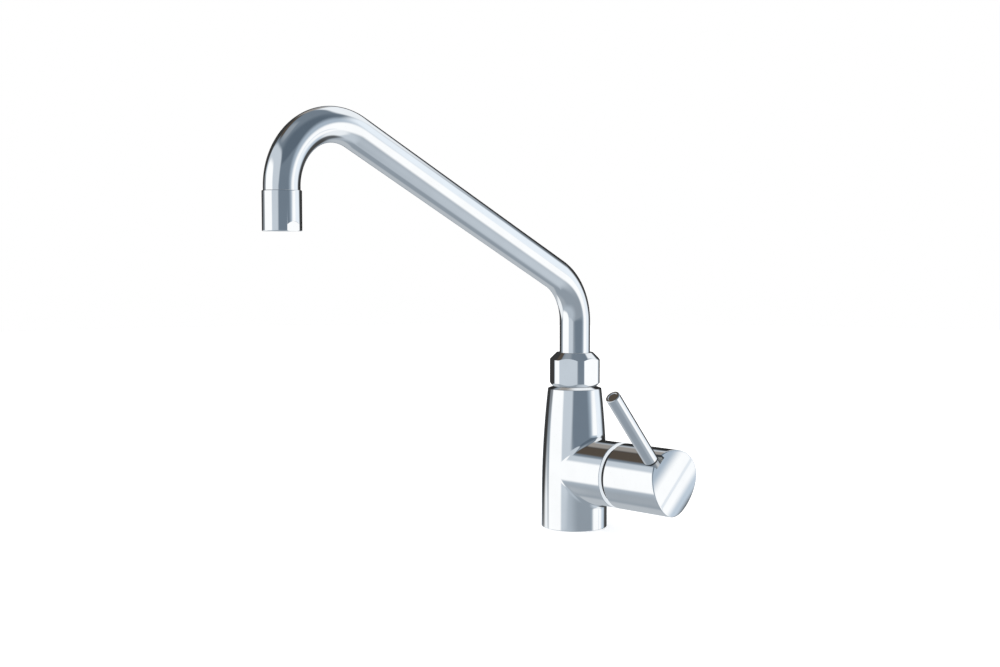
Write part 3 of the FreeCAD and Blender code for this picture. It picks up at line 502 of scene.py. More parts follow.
def chrome_material(name, finishes):
    """Polished plate: a faint haze in patches, hairline wipe marks and a soft ripple of the metal below."""
    material, graph = new_graph(name)
    haze = graph.noise(55.0, 3.0, 0.55)
    wipes = graph.noise(1.0, 2.0, 0.6, graph.stretched((900.0, 900.0, 70.0)))
    ripple = graph.noise(140.0, 1.0, 0.4)
    hazy = opaque(finishes.chrome, 0.975)
    shade = graph.blend(graph.step(haze, 0.35, 0.75), opaque(finishes.chrome), hazy)
    wiped = graph.step(wipes, 0.62, 0.80) * 0.03
    rough = finishes.chrome_gloss * (0.55 + graph.spread(haze, 0.9)) + wiped
    # Painted shade: the metal in the slot is made dark to stand for the shade inside the slot, and is also made
    # duller
    slot_shade = graph.make("ShaderNodeAttribute", {"attribute_name": "slot_shade"}, output="Fac")
    darkness, dullness = 0.08, 0.35
    shade = graph.blend(slot_shade, shade, opaque(finishes.chrome, darkness))
    rough = rough + slot_shade * dullness
    height = ripple + wipes * 0.04
    graph.surface(Base_Color=shade, Metallic=1.0, Roughness=rough,
                  Normal=graph.bump(height, 0.000012, 0.6))
    return material


def brass_material(name, finishes):
    """Machined brass: turning rings, a dull bloom in patches and darker spots of tarnish."""
    material, graph = new_graph(name)
    bloom = graph.noise(90.0, 4.0, 0.6)
    spots = graph.noise(420.0, 2.0, 0.5)
    rings = graph.make("ShaderNodeTexWave", {"wave_type": "RINGS", "rings_direction": "SPHERICAL"}, {
        "Vector": graph.place(), "Scale": 900.0, "Distortion": 1.5, "Detail": 1.0}, "Fac")
    dulled = opaque(finishes.brass, 0.82)
    tarnish = (0.34, 0.22, 0.10, 1.0)
    shade = graph.blend(graph.step(bloom, 0.3, 0.7), opaque(finishes.brass), dulled)
    shade = graph.blend(graph.step(spots, 0.62, 0.72) * 0.5, shade, tarnish)
    rough = 0.22 + graph.spread(bloom, 0.2) + rings * 0.06
    graph.surface(Base_Color=shade, Metallic=1.0, Roughness=rough,
                  Normal=graph.bump(rings, 0.00002, 0.4))
    return material


def steel_material(name, finishes):
    """Bright steel with fine grinding lines."""
    material, graph = new_graph(name)
    lines = graph.noise(1.0, 3.0, 0.6, graph.stretched((1500.0, 260.0, 1500.0)))
    patches = graph.noise(120.0, 2.0, 0.5)
    greyer = opaque(finishes.steel, 0.9)
    shade = graph.blend(graph.step(patches, 0.3, 0.7), opaque(finishes.steel), greyer)
    rough = 0.16 + graph.spread(lines, 0.22)
    graph.surface(Base_Color=shade, Metallic=1.0, Roughness=rough,
                  Normal=graph.bump(lines, 0.00001, 0.5))
    return material


def plastic_material(name, finishes):
    """Moulded acetal: a fine grain, and a slight warm tint in patches."""
    material, graph = new_graph(name)
    grain = graph.noise(1800.0, 2.0, 0.6)
    tint = graph.noise(60.0, 2.0, 0.5)
    warmer = (0.76, 0.74, 0.67, 1.0)
    shade = graph.blend(graph.step(tint, 0.3, 0.75), opaque(finishes.plastic), warmer)
    rough = 0.34 + graph.spread(grain, 0.18)
    graph.surface(Base_Color=shade, Roughness=rough, Subsurface_Weight=0.08,
                  Subsurface_Radius=(0.002, 0.0018, 0.0015), Subsurface_Scale=1.0,
                  Normal=graph.bump(grain, 0.00003, 0.5))
    return material


def rubber_material(name, finishes):
    """Black rubber: a dull mould skin with a trace of pale talc."""
    material, graph = new_graph(name)
    skin = graph.noise(1200.0, 3.0, 0.6)
    talc = graph.noise(260.0, 4.0, 0.7)
    dusty = (0.16, 0.16, 0.155, 1.0)
    shade = graph.blend(graph.step(talc, 0.60, 0.78) * 0.35, opaque(finishes.rubber), dusty)
    rough = 0.5 + graph.spread(skin, 0.25)
    graph.surface(Base_Color=shade, Roughness=rough, Normal=graph.bump(skin, 0.00004, 0.6))
    return material


MAKERS = {"chrome": chrome_material, "brass": brass_material, "steel": steel_material,
          "white_plastic": plastic_material, "rubber": rubber_material}


def finish(slot):
    """The material of a slot of the record, made when it is first asked for."""
    name = "tap_" + slot
    return bpy.data.materials.get(name) or MAKERS[slot](name, bpy.context.scene.tap_finishes)


# Body

class Column:
    """Shape of the column: its radius and slope at a height."""

    def __init__(self, sizes):
        self.base_radius = sizes.base_radius
        self.straight_height = sizes.straight_height
        rise = sizes.column_height - sizes.straight_height
        draw = sizes.base_radius - sizes.neck_radius
        # Radius of the arc that leaves the straight foot without a kink and ends at the neck
        self.swell = (rise * rise / draw + draw) / 2

    def radius(self, height):
        up = max(0.0, height - self.straight_height)
        return self.base_radius - self.swell + math.sqrt(self.swell ** 2 - up * up)

    def slope(self, height):
        up = max(0.0, height - self.straight_height)
        return -up / math.sqrt(self.swell ** 2 - up * up)


def corner_ball(sizes, column, around):
    """Centre of a ball rolled round the corner of the branch, where it touches column and branch,
    and its heading from the middle of the column."""
    corner = sizes.corner_radius
    reach = sizes.branch_radius + corner
    side = reach * math.cos(around)
    level = BRANCH_HEIGHT + reach * math.sin(around)
    touch = level
    # The height of the touch depends on the slope there, and settles in a few steps
    settling_steps = 12
    for _ in range(settling_steps):
        slope = column.slope(touch)
        touch = level + corner * slope / math.hypot(1, slope)
    wall = column.radius(touch)
    out = wall + corner / math.hypot(1, column.slope(touch))
    centre = Vector((math.sqrt(out * out - side * side), side, level))
    heading = math.atan2(centre.y, centre.x)
    on_column = Vector((wall * math.cos(heading), wall * math.sin(heading), touch))
    on_branch = Vector((centre.x, sizes.branch_radius * math.cos(around),
                        BRANCH_HEIGHT + sizes.branch_radius * math.sin(around)))
    return centre, on_column, on_branch, heading


def body_mesh(sizes, segments):
    """Column, corner and branch in one closed skin, with the bores that open at their ends."""
    column = Column(sizes)
    skin = Skin()
    half = segments // 2
    # The corner is widest a little above the branch axis, because the column tapers. It is found in
    # fiftieths of a degree, up to five degrees
    widest_turn = max((math.radians(step / 50) for step in range(250)),
                      key=lambda around: corner_ball(sizes, column, around)[3])
    low_turns = [widest_turn - (math.pi + 2 * widest_turn) * index / half for index in range(half + 1)]
    high_turns = [widest_turn + (math.pi - 2 * widest_turn) * index / half for index in range(half + 1)]
    lower = [corner_ball(sizes, column, around) for around in low_turns]
    upper = [corner_ball(sizes, column, around) for around in high_turns]
    widest = lower[0][3]
    waist = lower[0][1].z
    back = [-widest - (math.tau - 2 * widest) * index / half for index in range(1, half)]

    def headings(contacts):
        return [contact[3] for contact in contacts] + back

    def levels(contacts):
        return [contact[1].z for contact in contacts] + [waist] * len(back)

    def wall(turns, heights):
        """A row round the column, with a height of its own at each heading."""
        radii = [column.radius(height) for height in heights]
        return [(radius * math.cos(heading), radius * math.sin(heading), height)
                for radius, heading, height in zip(radii, turns, heights)]

    # Underside and the wall below the branch
    edge = sizes.base_edge
    groove_low = sizes.groove_radius - sizes.groove_width / 2
    groove_high = sizes.groove_radius + sizes.groove_width / 2
    foot = [(groove_high, 0, 0), (sizes.base_radius, 0, edge), (sizes.base_radius, waist, 0)]
    under = [(sizes.recess_radius, sizes.recess_depth), (sizes.recess_radius, 0), (groove_low, 0),
             (groove_low, sizes.groove_depth), (groove_high, sizes.groove_depth), (groove_high, 0)]
    under += [tuple(point) for point in rounded(foot, steps=5, closed=False)[1:-1]]
    turns = headings(lower)
    rows = skin.stack([ring_of(radius, height, turns) for radius, height in under])
    skin.cover(rows[0])
    below_steps = 20
    numbered = skin.stack([
        wall(turns, [edge + (level - edge) * step / below_steps for level in levels(lower)])
        for step in range(1, below_steps + 1)])
    skin.join(rows[-1], numbered[0])

    # The wall above the branch, the shoulder, the nipple and its socket
    turns = headings(upper)
    above_steps = 44
    top = sizes.column_height
    below_edge = top - 3 * sizes.neck_edge
    shoulder = rounded([
        (column.radius(below_edge), below_edge, 0),
        (sizes.neck_radius, top, sizes.neck_edge),
        (sizes.throat_radius, top + sizes.throat_height, SMALL_EDGE),
        (sizes.nipple_radius, top + sizes.throat_height, 0),
        (sizes.nipple_radius, BODY_HIGH.z, SMALL_EDGE),
        (sizes.socket_radius, BODY_HIGH.z, SMALL_EDGE),
        (sizes.socket_radius, BODY_HIGH.z - sizes.socket_depth, 0)], steps=5, closed=False)
    start = shoulder[0][1]
    numbered = skin.stack([
        wall(turns, [level + (start - level) * step / above_steps for level in levels(upper)])
        for step in range(above_steps + 1)])
    rows = skin.stack([ring_of(radius, height, turns) for radius, height in shoulder[1:]])
    skin.join(numbered[-1], rows[0])
    skin.cover(rows[-1])

    # The hollow corner and the branch
    contacts = lower[::-1] + upper[1:-1]
    arounds = low_turns[::-1] + high_turns[1:-1]
    corner_steps = 8
    corner = [[swing(centre, on_column, on_branch, step / corner_steps)
               for centre, on_column, on_branch, _ in contacts] for step in range(corner_steps + 1)]
    numbered = skin.stack(corner)
    ends = rounded([
        (sizes.branch_radius, BODY_HIGH.x - 4 * sizes.branch_edge, 0),
        (sizes.branch_radius, BODY_HIGH.x, sizes.branch_edge),
        (sizes.mouth_radius, BODY_HIGH.x, SMALL_EDGE),
        (sizes.mouth_radius, BODY_HIGH.x - sizes.mouth_depth, 0),
        (sizes.seat_radius, BODY_HIGH.x - sizes.mouth_depth, 0),
        (sizes.seat_radius, sizes.seat_floor, 0)], steps=5, closed=False)
    length_steps = 10
    first = ends[0]
    runs = [[on_branch.lerp(Vector((first[1], on_branch.y, on_branch.z)), step / length_steps)
             for _, _, on_branch, _ in contacts] for step in range(1, length_steps + 1)]
    walls = skin.stack(runs)
    skin.join(numbered[-1], walls[0])
    tail = skin.stack([[(along, radius * math.cos(around), BRANCH_HEIGHT + radius * math.sin(around))
                        for around in arounds] for radius, along in ends[1:]])
    skin.join(walls[-1], tail[0])
    skin.cover(tail[-1])
    return skin.mesh("body")


def threaded_bore(name, radius, depth, floor, x, y, pitch=1.0 * MM):
    """Cutter for a threaded hole that rises from the recess, with a ridge at each pitch."""
    root = radius + 0.45 * pitch
    profile = [(0.0, floor - pitch), (root, floor - pitch), (root, floor + 0.4 * pitch)]
    turns = int(depth / pitch) - 2
    for index in range(turns):
        crest = floor + (index + 0.9) * pitch
        profile += [(radius, crest), (root, crest + 0.5 * pitch)]
    profile += [(radius, floor + depth - pitch), (radius, floor + depth), (0.0, floor + depth)]
    return solid_turned(name, profile, segments=48, place=Matrix.Translation((x, y, 0)))


class TAP_OT_body(bpy.types.Operator):
    """Build the column with its side branch, bores and threads"""
    bl_idname = "tap.body"
    bl_label = "Body"

    def execute(self, context):
        sizes = context.scene.tap_body
        piece = object_from("body", body_mesh(sizes, context.scene.tap_studio.round_segments))
        holes = [threaded_bore("stud", sizes.stud_radius, sizes.thread_depth, sizes.recess_depth,
                               sizes.stud_front, 0, pitch=1.25 * MM)]
        for side in (1, -1):
            holes.append(threaded_bore("inlet", sizes.inlet_radius, sizes.thread_depth, sizes.recess_depth,
                                       -sizes.inlet_back, side * sizes.inlet_side))
        cut_away(piece, holes)
        finish_piece(piece, "root", "chrome", "body_casting")
        return {"FINISHED"}


# Spout

def nut_mesh(sizes, segments):
    """Hexagon whose corners are turned to cones at both ends."""
    play = 0.35 * MM
    roof = 8 * MM
    thread = 13.3 * MM
    bore = TUBE_HIGH.x + play
    thread_end = NUT_HIGH.z - roof
    outline = rounded([
        (sizes.nut_foot, NUT_LOW.z, FINE_EDGE), (sizes.nut_radius, NUT_LOW.z + sizes.nut_foot_height, 0),
        (sizes.nut_radius, NUT_HIGH.z - sizes.nut_top_height, 0), (sizes.nut_top, NUT_HIGH.z, 0.4 * MM),
        (bore, NUT_HIGH.z, SMALL_EDGE), (bore, thread_end, 0), (thread, thread_end, 0),
        (thread, NUT_LOW.z, SMALL_EDGE)], steps=4)
    # The two cones have many rows, because the flats run out in them in curves
    row_step = 0.22 * MM
    least_slant = 0.05 * MM
    profile = []
    for here, ahead in zip(outline, outline[1:] + outline[:1]):
        outside = here.x > sizes.nut_top and ahead.x > sizes.nut_top
        cone = outside and abs(ahead.x - here.x) > least_slant
        parts = max(1, int((ahead - here).length / row_step)) if cone else 1
        profile += [here.lerp(ahead, part / parts) for part in range(parts)]
    angles = full_turn(segments)
    skin = Skin()
    rows = []
    for radius, height in profile:
        row = []
        for angle in angles:
            away = (angle - sizes.nut_turn + math.pi / 6) % (math.pi / 3) - math.pi / 6
            flat = sizes.nut_flats / 2 / math.cos(away)
            soft = max(0.0, sizes.nut_edge - abs(radius - flat))
            out = min(radius, flat) - soft * soft / (4 * sizes.nut_edge)
            # The bore stays round
            out = out if radius > sizes.nut_top * 0.99 else radius
            row.append((out * math.cos(angle), out * math.sin(angle), height))
        rows.append(row)
    skin.stack(rows, loop=True)
    return skin.mesh("nut")


def spout_path(sizes):
    """Middle of the tube as (y, z, heading) stations: riser, bend, long slope, hook and drop."""
    reach = -(SLEEVE_LOW.y + SLEEVE_HIGH.y) / 2
    bend = sizes.bend_radius
    lean = math.pi / 2 - sizes.slope

    def on_bend(y, z, heading):
        """Station on a bend about a middle at y and z."""
        return y + bend * math.cos(heading), z + bend * math.sin(heading), heading

    stations = [(0.0, TUBE_LOW.z, 0.0)]
    step = math.radians(1.5)
    turns = max(2, round(lean / step))
    for index in range(turns + 1):
        stations.append(on_bend(-bend, sizes.tube_rise, lean * index / turns))
    y, z, _ = stations[-1]
    # The slope ends where the hook's circle takes over
    hook_y = -reach + bend
    end_y = hook_y + bend * math.cos(lean)
    run = (y - end_y) / math.cos(sizes.slope)
    end_z = z + run * math.sin(sizes.slope)
    slope_steps = 24
    for index in range(1, slope_steps):
        stations.append((y + (end_y - y) * index / slope_steps, z + (end_z - z) * index / slope_steps, lean))
    hook_z = end_z - bend * math.sin(lean)
    hook = math.pi - lean
    turns = max(2, round(hook / step))
    for index in range(turns + 1):
        stations.append(on_bend(hook_y, hook_z, lean + hook * index / turns))
    stations.append((-reach, TUBE_END, math.pi))
    return stations


def tube_mesh(sizes, segments):
    skin = Skin()
    angles = full_turn(segments)
    across = Vector((1, 0, 0))

    def ring(station, radius):
        y, z, heading = station
        middle = Vector((0, y, z))
        side = Vector((0, math.cos(heading), math.sin(heading)))
        return [middle + across * radius * math.cos(angle) + side * radius * math.sin(angle)
                for angle in angles]

    stations = spout_path(sizes)
    outer = [ring(station, sizes.tube_radius) for station in stations]
    inner = [ring(station, sizes.tube_radius - sizes.tube_wall) for station in reversed(stations)]
    skin.stack(outer + inner, loop=True)
    return skin.mesh("tube")


class TAP_OT_spout(bpy.types.Operator):
    """Build the swivel nut, the bent tube and the outlet sleeve"""
    bl_idname = "tap.spout"
    bl_label = "Spout"

    def execute(self, context):
        sizes = context.scene.tap_spout
        segments = context.scene.tap_studio.round_segments
        nut = object_from("nut", nut_mesh(sizes, 3 * segments))
        finish_piece(nut, "root", "chrome", "swivel_nut")
        tube = object_from("tube", tube_mesh(sizes, segments // 2))
        finish_piece(tube, "spout", "chrome", "spout_tube")
        middle = (SLEEVE_LOW.y + SLEEVE_HIGH.y) / 2
        outside = SLEEVE_HIGH.x
        edge = sizes.sleeve_edge
        play = 0.05 * MM
        over_tube = sizes.tube_radius + play
        profile = rounded([
            (sizes.sleeve_bore, SLEEVE_LOW.z, FINE_EDGE), (outside, SLEEVE_LOW.z, edge),
            (outside, SLEEVE_HIGH.z, edge), (over_tube, SLEEVE_HIGH.z, 0.1 * MM),
            (over_tube, TUBE_END, 0), (sizes.sleeve_bore, TUBE_END, 0)])
        upright = Matrix.Translation((0, middle, 0))
        sleeve = object_from("sleeve", turned("sleeve", profile, segments, upright))
        sideways = Matrix(((0, 0, 1, 0), (1, 0, 0, middle), (0, 1, 0, SLEEVE_LOW.z), (0, 0, 0, 1)))
        thickness = 5 * MM
        cutters = []
        for side in (1, -1):
            start = side * sizes.flat_width / 2
            final = start + side * thickness
            disc = [(0, start), (sizes.flat_radius, start), (sizes.flat_radius, final), (0, final)]
            cutters.append(solid_turned("flat", disc, segments=64, place=sideways))
        cut_away(sleeve, cutters)
        finish_piece(sleeve, "spout", "chrome", "outlet_sleeve")
        return {"FINISHED"}


# Handle

def cap_mesh(sizes, segments):
    """Cap whose end is crowned across the lever, as part of a cylinder."""
    outside = CAP_HIGH.y
    centre = sizes.cap_rim - math.sqrt(sizes.crown_radius ** 2 - (outside + sizes.crown_offset) ** 2)
    inside = outside - sizes.cap_wall
    floor = sizes.cap_rim - sizes.end_wall
    angles = full_turn(segments)
    lean = math.atan2(LEVER_AXIS.z, LEVER_AXIS.y)

    def along(radius, angle):
        """Place of the crowned face along the branch."""
        offset = radius * math.cos(angle - math.pi / 2 - lean) + sizes.crown_offset
        return centre + math.sqrt(sizes.crown_radius ** 2 - offset * offset)

    def ring(radius, place_of):
        return [(radius * math.cos(angle), radius * math.sin(angle), place_of(angle)) for angle in angles]

    def level(place):
        return lambda angle: place

    foot_length = 2 * MM
    start = rounded([
        (inside, floor, 0), (inside, CAP_LOW.x, FINE_EDGE), (outside, CAP_LOW.x, sizes.cap_edge),
        (outside, CAP_LOW.x + foot_length, 0)], steps=5, closed=False)
    rows = [ring(point[0], level(point[1])) for point in start]
    edge = sizes.rim_edge
    wall_start = start[-1][1]
    wall_steps = 16
    for step in range(1, wall_steps + 1):
        rows.append(ring(outside, lambda angle, step=step: wall_start + (
            along(outside, angle) - edge - wall_start) * step / wall_steps))
    # The rim is rounded off in a curve that leaves the wall and meets the crown without a kink
    arc_steps = 6
    for step in range(1, arc_steps + 1):
        portion = step / arc_steps
        radius = outside - edge * portion ** 2

        def eased(angle, portion=portion):
            low = along(outside, angle) - edge
            high = along(outside, angle)
            inner = along(outside - edge, angle)
            return (1 - portion) ** 2 * low + 2 * portion * (1 - portion) * high + portion ** 2 * inner
        rows.append(ring(radius, eased))
    face_steps = 28
    for step in range(1, face_steps):
        radius = (outside - edge) * (1 - step / face_steps)
        rows.append(ring(radius, lambda angle, radius=radius: along(radius, angle)))
    skin = Skin()
    numbered = skin.stack(rows)
    middle = skin.row([(0.0, 0.0, along(0.0, 0.0))])[0]
    last = numbered[-1]
    for index in range(len(last)):
        skin.faces.append((last[index], last[(index + 1) % len(last)], middle))
    skin.cover(numbered[0])
    return skin.mesh("cap", branch_place())


def slot_cutters(sizes):
    """Round end of the lever's slot, and the fan in which the lever rocks out to the rim."""
    half = sizes.lever_radius + sizes.slot_play
    pivot = math.hypot(LEVER_PIVOT.y, LEVER_PIVOT.z - BRANCH_HEIGHT)
    low = pivot - sizes.cap_wall
    top = CAP_HIGH.y + CLEARANCE
    slant = math.tan(sizes.lever_throw)
    foot = half / math.cos(sizes.lever_throw)
    rod = [(0, low), (half, low), (half, top), (0, top)]
    hole = solid_turned("hole", rod, segments=64, place=lever_place())
    low_end = foot - sizes.cap_wall * slant
    top_end = foot + (top - pivot) * slant
    fan = block("fan", [(0, low), (low_end, low), (top_end, top), (0, top)], half)
    fan.transform(lever_place())
    return [hole, fan]


def screw_cutter(sizes):
    """Hole of the grub screw, opposite the lever."""
    depth = 4.5 * MM
    outside = -CAP_HIGH.y - CLEARANCE
    floor = -CAP_HIGH.y + depth
    lean = math.atan2(LEVER_AXIS.z, LEVER_AXIS.y)
    place = Matrix.Translation((sizes.screw_station, 0, BRANCH_HEIGHT)) @ Matrix.Rotation(lean, 4, "X")
    profile = [(0, outside), (sizes.screw_hole, outside), (sizes.screw_hole, floor), (0, floor)]
    return solid_turned("screw", profile, segments=32, place=place)


def lever_mesh(sizes, segments, brim):
    """Round rod with a dish in its tip, a hole for the knuckle in its foot, and a row of points at
    the brim of the cap, where the painted shade of the slot ends."""
    stud_radius = 2.55 * MM
    stud_depth = 8 * MM
    profile = rounded([
        (stud_radius, sizes.lever_foot, 0),
        (sizes.lever_radius, sizes.lever_foot, 0.25 * MM),
        (sizes.lever_radius, sizes.lever_tip, sizes.lever_edge),
        (sizes.tip_dish, sizes.lever_tip, 0.15 * MM),
        (sizes.tip_dish - 0.1 * MM, sizes.lever_tip - sizes.tip_sink, 0.12 * MM),
        (0.0, sizes.lever_tip - sizes.tip_sink, 0)], steps=5, closed=False)
    foot_end = [point[1] > brim for point in profile].index(True)
    profile.insert(foot_end, Vector((sizes.lever_radius, brim)))
    skin = Skin()
    angles = full_turn(segments)
    rows = skin.stack([ring_of(point[0], point[1], angles) for point in
                       [(stud_radius, sizes.lever_foot + stud_depth)] + profile[:-1]])
    skin.cover(rows[0])
    skin.cover(rows[-1])
    return skin.mesh("lever", lever_place())


class TAP_OT_handle(bpy.types.Operator):
    """Build the trim ring, the crowned cap and the lever"""
    bl_idname = "tap.handle"
    bl_label = "Handle"

    def execute(self, context):
        sizes = context.scene.tap_handle
        segments = context.scene.tap_studio.round_segments
        # The ring is given black rubber in place of plate, a dark ring painted in for the shade of the narrow gap
        # between branch and cap
        ring = object_from("ring", turned("ring", rounded([
            (sizes.ring_bore, RING_LOW.x, FINE_EDGE), (sizes.ring_radius, RING_LOW.x, sizes.ring_round),
            (sizes.ring_radius, RING_HIGH.x, sizes.ring_round), (sizes.ring_bore, RING_HIGH.x, FINE_EDGE)]),
            segments, branch_place()))
        finish_piece(ring, "root", "rubber", "trim_ring")
        cap = object_from("cap", cap_mesh(sizes, segments + segments // 2))
        cut_away(cap, slot_cutters(sizes) + [screw_cutter(sizes)])
        # Painted shade on the faces of the cap inside the lever's slot
        mark_slot_shade(cap.data, lambda place: place.x < sizes.cap_rim - sizes.rim_edge - SLOT_SHADE_DEPTH and
                  math.hypot(place.y, place.z - BRANCH_HEIGHT) < CAP_HIGH.y - SLOT_SHADE_DEPTH)
        finish_piece(cap, "handle", "chrome", "handle_cap")
        # The lever gets painted shade from just below the outside of the cap
        brim = CAP_HIGH.y - 1.5 * SLOT_SHADE_DEPTH
        lever = object_from("lever", lever_mesh(sizes, segments // 2, brim))
        upright = lever_place().inverted()
        mark_slot_shade(lever.data, lambda place: (upright @ place).z < brim)
        finish_piece(lever, "lever", "chrome", "lever_rod")
        return {"FINISHED"}


# Carried-over pieces

class TAP_OT_inner_pieces(bpy.types.Operator):
    """Give every packed piece that still shows the material of its slot"""
    bl_idname = "tap.inner_pieces"
    bl_label = "Inner pieces"

    def execute(self, context):
        slots = {part["node"]: part["material_slot"] for part in frame["record"]["subparts"]}
        # The slot of the lever shows these two, which are plated like steel
        slots.update(handle_hub="steel", lever_knuckle="steel")
        for node, packed in frame["nodes"].items():
            if packed.hide_render:
                continue
            for index in range(len(packed.material_slots)):
                packed.material_slots[index].material = finish(slots[node])
            packed.visible_glossy = False
        return {"FINISHED"}


# Studio

def screen_grey(level, coolness):
    """Linear colour of a grey given as it looks on the screen, made bluer by coolness."""
    shades = (level - coolness, level, level + coolness)
    return tuple(((shade + 0.055) / 1.055) ** 2.4 for shade in shades) + (1.0,)


class Card:
    """One soft-edged light or dark card of the room that the metal reflects, as seen from the tap."""

    def __init__(self, heading, height, half_width, half_height, squareness, softness, level, coolness):
        self.heading = heading
        self.height = height
        self.half_width = half_width
        self.half_height = half_height
        self.squareness = squareness
        self.softness = softness
        self.shade = screen_grey(level, coolness)


# Each card has its heading, height, half width and half height, all in degrees, and then its
# squareness, softness, level and coolness. Headings count from the side of the camera, and right of
# it where above nought. Later cards hang in front of earlier ones
ROOM_SHADE = screen_grey(0.604, 0.039)
CARDS = {
    "ceiling": Card(0, 90, 400, 58, 2, 0.4, 0.502, 0.047),
    "high cloth": Card(38, 43, 64, 29, 2.4, 0.8, 0.404, 0.051),
    "front cloth": Card(28, 9, 42, 16, 3, 0.35, 0.49, 0.051),
    "top light": Card(-78, 66, 36, 14, 2, 0.8, 0.604, 0.035),
    "left low": Card(-95, -50, 38, 13, 2, 1.2, 0.663, 0.031),
    "left floor": Card(-50, -22, 52, 22, 2, 0.8, 0.737, 0.039),
    "left rim": Card(-60, 16, 55, 31, 2.4, 0.18, 0.808, 0.035),
    "left window": Card(-75, 0, 28, 28, 3, 0.28, 1.012, 0.004),
    "left glow": Card(-127, -26, 29, 20, 2, 0.4, 0.965, 0.012),
    "right floor glow": Card(108, -54, 46, 30, 2, 1.3, 0.8, 0.035),
    "right ramp": Card(82, 8, 22, 24, 2, 1.0, 0.722, 0.055),
    "right haze": Card(116, -15, 18, 14, 2, 0.8, 0.808, 0.051),
    "right window": Card(90, -13, 21, 22, 2.4, 0.6, 1.012, 0.004),
    "window bar": Card(96.5, -8, 1.6, 14, 2, 0.8, 0.925, 0.024),
    "right shoulder": Card(112, 14, 20, 22, 2.2, 0.6, 0.957, 0.031),
    "right glow": Card(114, -36, 22, 13, 2.2, 0.6, 0.949, 0.016),
    "right table": Card(141, -28, 15, 24, 2, 0.9, 0.361, 0.016),
    "right arc": Card(152, 45, 42, 18, 2.2, 0.35, 0.957, 0.016),
    "right foot": Card(150, -14, 18, 16, 2.3, 0.6, 0.282, 0),
    "right dark": Card(152, 9, 26, 14, 2.3, 0.6, 0.235, 0),
    "back dark": Card(180, 12, 32, 16, 2.3, 0.5, 0.176, 0),
    "left dark": Card(-138, 26, 27, 28, 2.4, 0.3, 0.227, 0),
    "warm shelf": Card(-122, 50, 26, 7, 2, 0.7, 0.294, -0.031),
    "back shelf": Card(-163, 43, 14, 10, 2, 0.9, 0.58, -0.016),
    "left foot": Card(-143, -4, 21, 9, 2, 0.7, 0.227, 0),
    "left post": Card(-113, 4, 9, 6, 2, 0.9, 0.51, 0.016),
    "back low": Card(-166, -37, 30, 21, 2.2, 0.6, 0.737, 0.024),
}


WHITE = (1.0, 1.0, 1.0, 1.0)
# Light of its own that the floor shows to the camera, which lifts it to white outside the shadow
FLOOR_GLOW = 0.47
# Radii of the floor's rings, as shares of its own
FLOOR_RINGS = (0.05, 0.2, 0.5, 1.0)
# Place, width and power of each lamp, and the point at which they all aim
LAMPS = {
    "key_lamp": ((0.5, -1.4, 1.5), 1.4, 9.0),
    "fill_lamp": ((1.5, 0.5, 1.0), 1.2, 4.0),
    "back_lamp": ((-1.2, 0.6, 1.3), 1.2, 4.0),
}
LAMP_AIM = Vector((0, -0.1, 0.1))


def world_graph(studio):
    """White to the camera, plain light to the floor, and the room of cards in the metal."""
    world = bpy.data.worlds.new("studio")
    bpy.context.scene.world = world
    graph = Graph(world)
    x, y, z = graph.split(graph.make("ShaderNodeTexCoord", output="Generated"))
    camera_heading = math.degrees(math.atan2(studio.camera_place[1], studio.camera_place[0]))
    heading = graph.maths("ARCTAN2", y, x) * math.degrees(1) - camera_heading
    height = graph.maths("ARCSINE", z) * math.degrees(1)
    seen = ROOM_SHADE
    for card in CARDS.values():
        aside = graph.maths("WRAP", heading - card.heading, 180.0, -180.0)
        across = abs(aside * (1 / card.half_width)) ** card.squareness
        above = abs((height - card.height) * (1 / card.half_height)) ** card.squareness
        away = (across + above) ** (1 / card.squareness)
        cover = 1.0 - graph.step(away, 1 - card.softness / 2, 1 + card.softness / 2)
        seen = graph.blend(cover, seen, card.shade)
    level = studio.room_light
    lit = graph.blend(graph.ray("Glossy") + graph.ray("Transmission"), (level, level, level, 1.0), seen)
    shown = graph.blend(graph.ray("Camera"), lit, WHITE)
    back = graph.make("ShaderNodeBackground", None, {"Color": shown, "Strength": 1.0})
    graph.make("ShaderNodeOutputWorld", None, {"Surface": back})


def floor_material(studio):
    """Pale floor that is white to the camera and keeps the shadow of the tap."""
    material, graph = new_graph("pale_floor")
    grain = graph.noise(6.0, 3.0, 0.5)
    darker = opaque(studio.floor_colour, 0.985)
    shade = graph.blend(graph.step(grain, 0.3, 0.7), opaque(studio.floor_colour), darker)
    matt = graph.make("ShaderNodeBsdfDiffuse", None, {"Color": shade, "Roughness": 0.4})
    strength = graph.ray("Camera") * FLOOR_GLOW
    glow = graph.make("ShaderNodeEmission", None, {"Color": WHITE, "Strength": strength})
    both = graph.make("ShaderNodeAddShader", None, {0: matt, 1: glow})
    graph.make("ShaderNodeOutputMaterial", None, {"Surface": both})
    return material


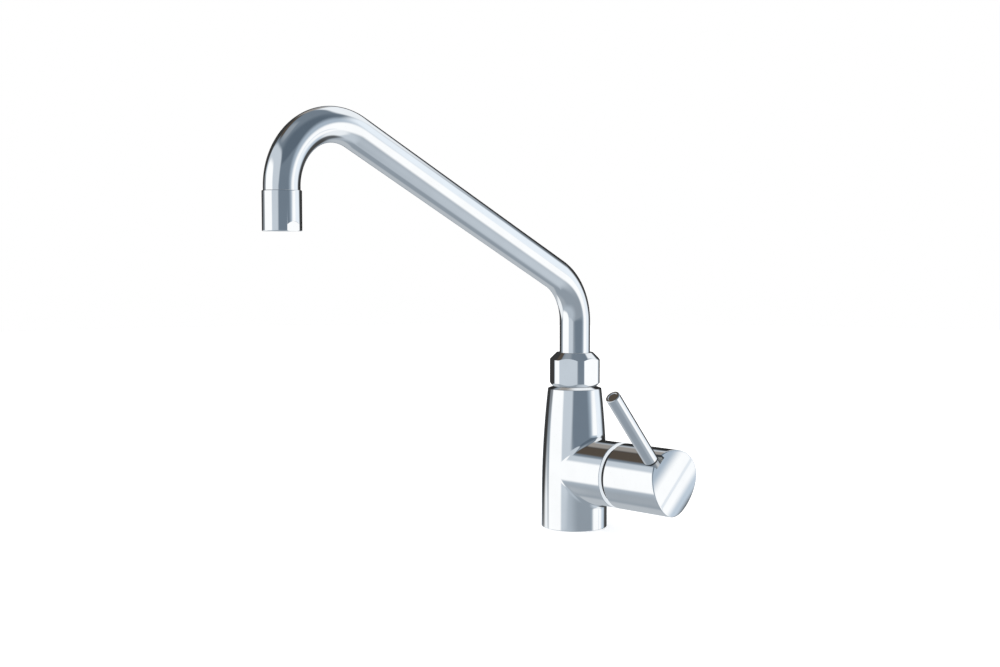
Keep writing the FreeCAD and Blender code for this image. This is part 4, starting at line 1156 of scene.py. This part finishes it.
class TAP_OT_studio(bpy.types.Operator):
    """Set up the camera, the pale floor and the soft light"""
    bl_idname = "tap.studio"
    bl_label = "Studio"

    def execute(self, context):
        studio = context.scene.tap_studio
        lens = bpy.data.cameras.new("camera")
        lens.sensor_width = 36
        lens.lens = studio.focal_length
        lens.dof.use_dof = False
        camera = bpy.data.objects.new("camera", lens)
        camera.location = studio.camera_place
        camera.rotation_euler = (studio.camera_pitch, 0, studio.camera_heading)
        context.scene.collection.objects.link(camera)
        context.scene.camera = camera
        skin = Skin()
        angles = full_turn(96)
        rows = skin.stack([ring_of(studio.floor_radius * part, 0, angles) for part in FLOOR_RINGS])
        skin.cover(rows[0])
        floor = object_from("floor", skin.mesh("floor"))
        floor.data.materials.append(floor_material(studio))
        floor.visible_glossy = False
        for name, (place, size, power) in LAMPS.items():
            lamp = bpy.data.lights.new(name, "AREA")
            lamp.size = size
            lamp.energy = power
            holder = bpy.data.objects.new(name, lamp)
            holder.location = place
            holder.rotation_euler = (LAMP_AIM - Vector(place)).to_track_quat("-Z", "Y").to_euler()
            holder.visible_glossy = False
            holder.visible_camera = False
            context.scene.collection.objects.link(holder)
        world_graph(studio)
        context.scene.view_settings.view_transform = "Standard"
        return {"FINISHED"}


# Panel and run

OPERATORS = (TAP_OT_body, TAP_OT_spout, TAP_OT_handle, TAP_OT_inner_pieces, TAP_OT_studio)
GROUPS = {"tap_body": BodySizes, "tap_spout": SpoutSizes, "tap_handle": HandleSizes,
          "tap_finishes": Finishes, "tap_studio": Studio}


class TAP_PT_panel(bpy.types.Panel):
    """Sizes, colours and building steps of the tap"""
    bl_idname = "TAP_PT_panel"
    bl_label = "Mixer tap"
    bl_space_type = "VIEW_3D"
    bl_region_type = "UI"
    bl_category = "Mixer tap"

    def draw(self, context):
        for operator in OPERATORS:
            self.layout.operator(operator.bl_idname)
        for name, group in GROUPS.items():
            box = self.layout.box()
            box.label(text=group.__doc__)
            for prop in group.__annotations__:
                box.prop(getattr(context.scene, name), prop)


def register():
    for item in (*GROUPS.values(), *OPERATORS, TAP_PT_panel):
        bpy.utils.register_class(item)
    for name, group in GROUPS.items():
        setattr(bpy.types.Scene, name, bpy.props.PointerProperty(type=group))


def unregister():
    for name in GROUPS:
        delattr(bpy.types.Scene, name)
    for item in reversed((*GROUPS.values(), *OPERATORS, TAP_PT_panel)):
        bpy.utils.unregister_class(item)


def main():
    register()
    bpy.ops.tap.body()
    bpy.ops.tap.spout()
    bpy.ops.tap.handle()
    bpy.ops.tap.inner_pieces()
    bpy.ops.tap.studio()


if __name__ == "__main__":
    main()
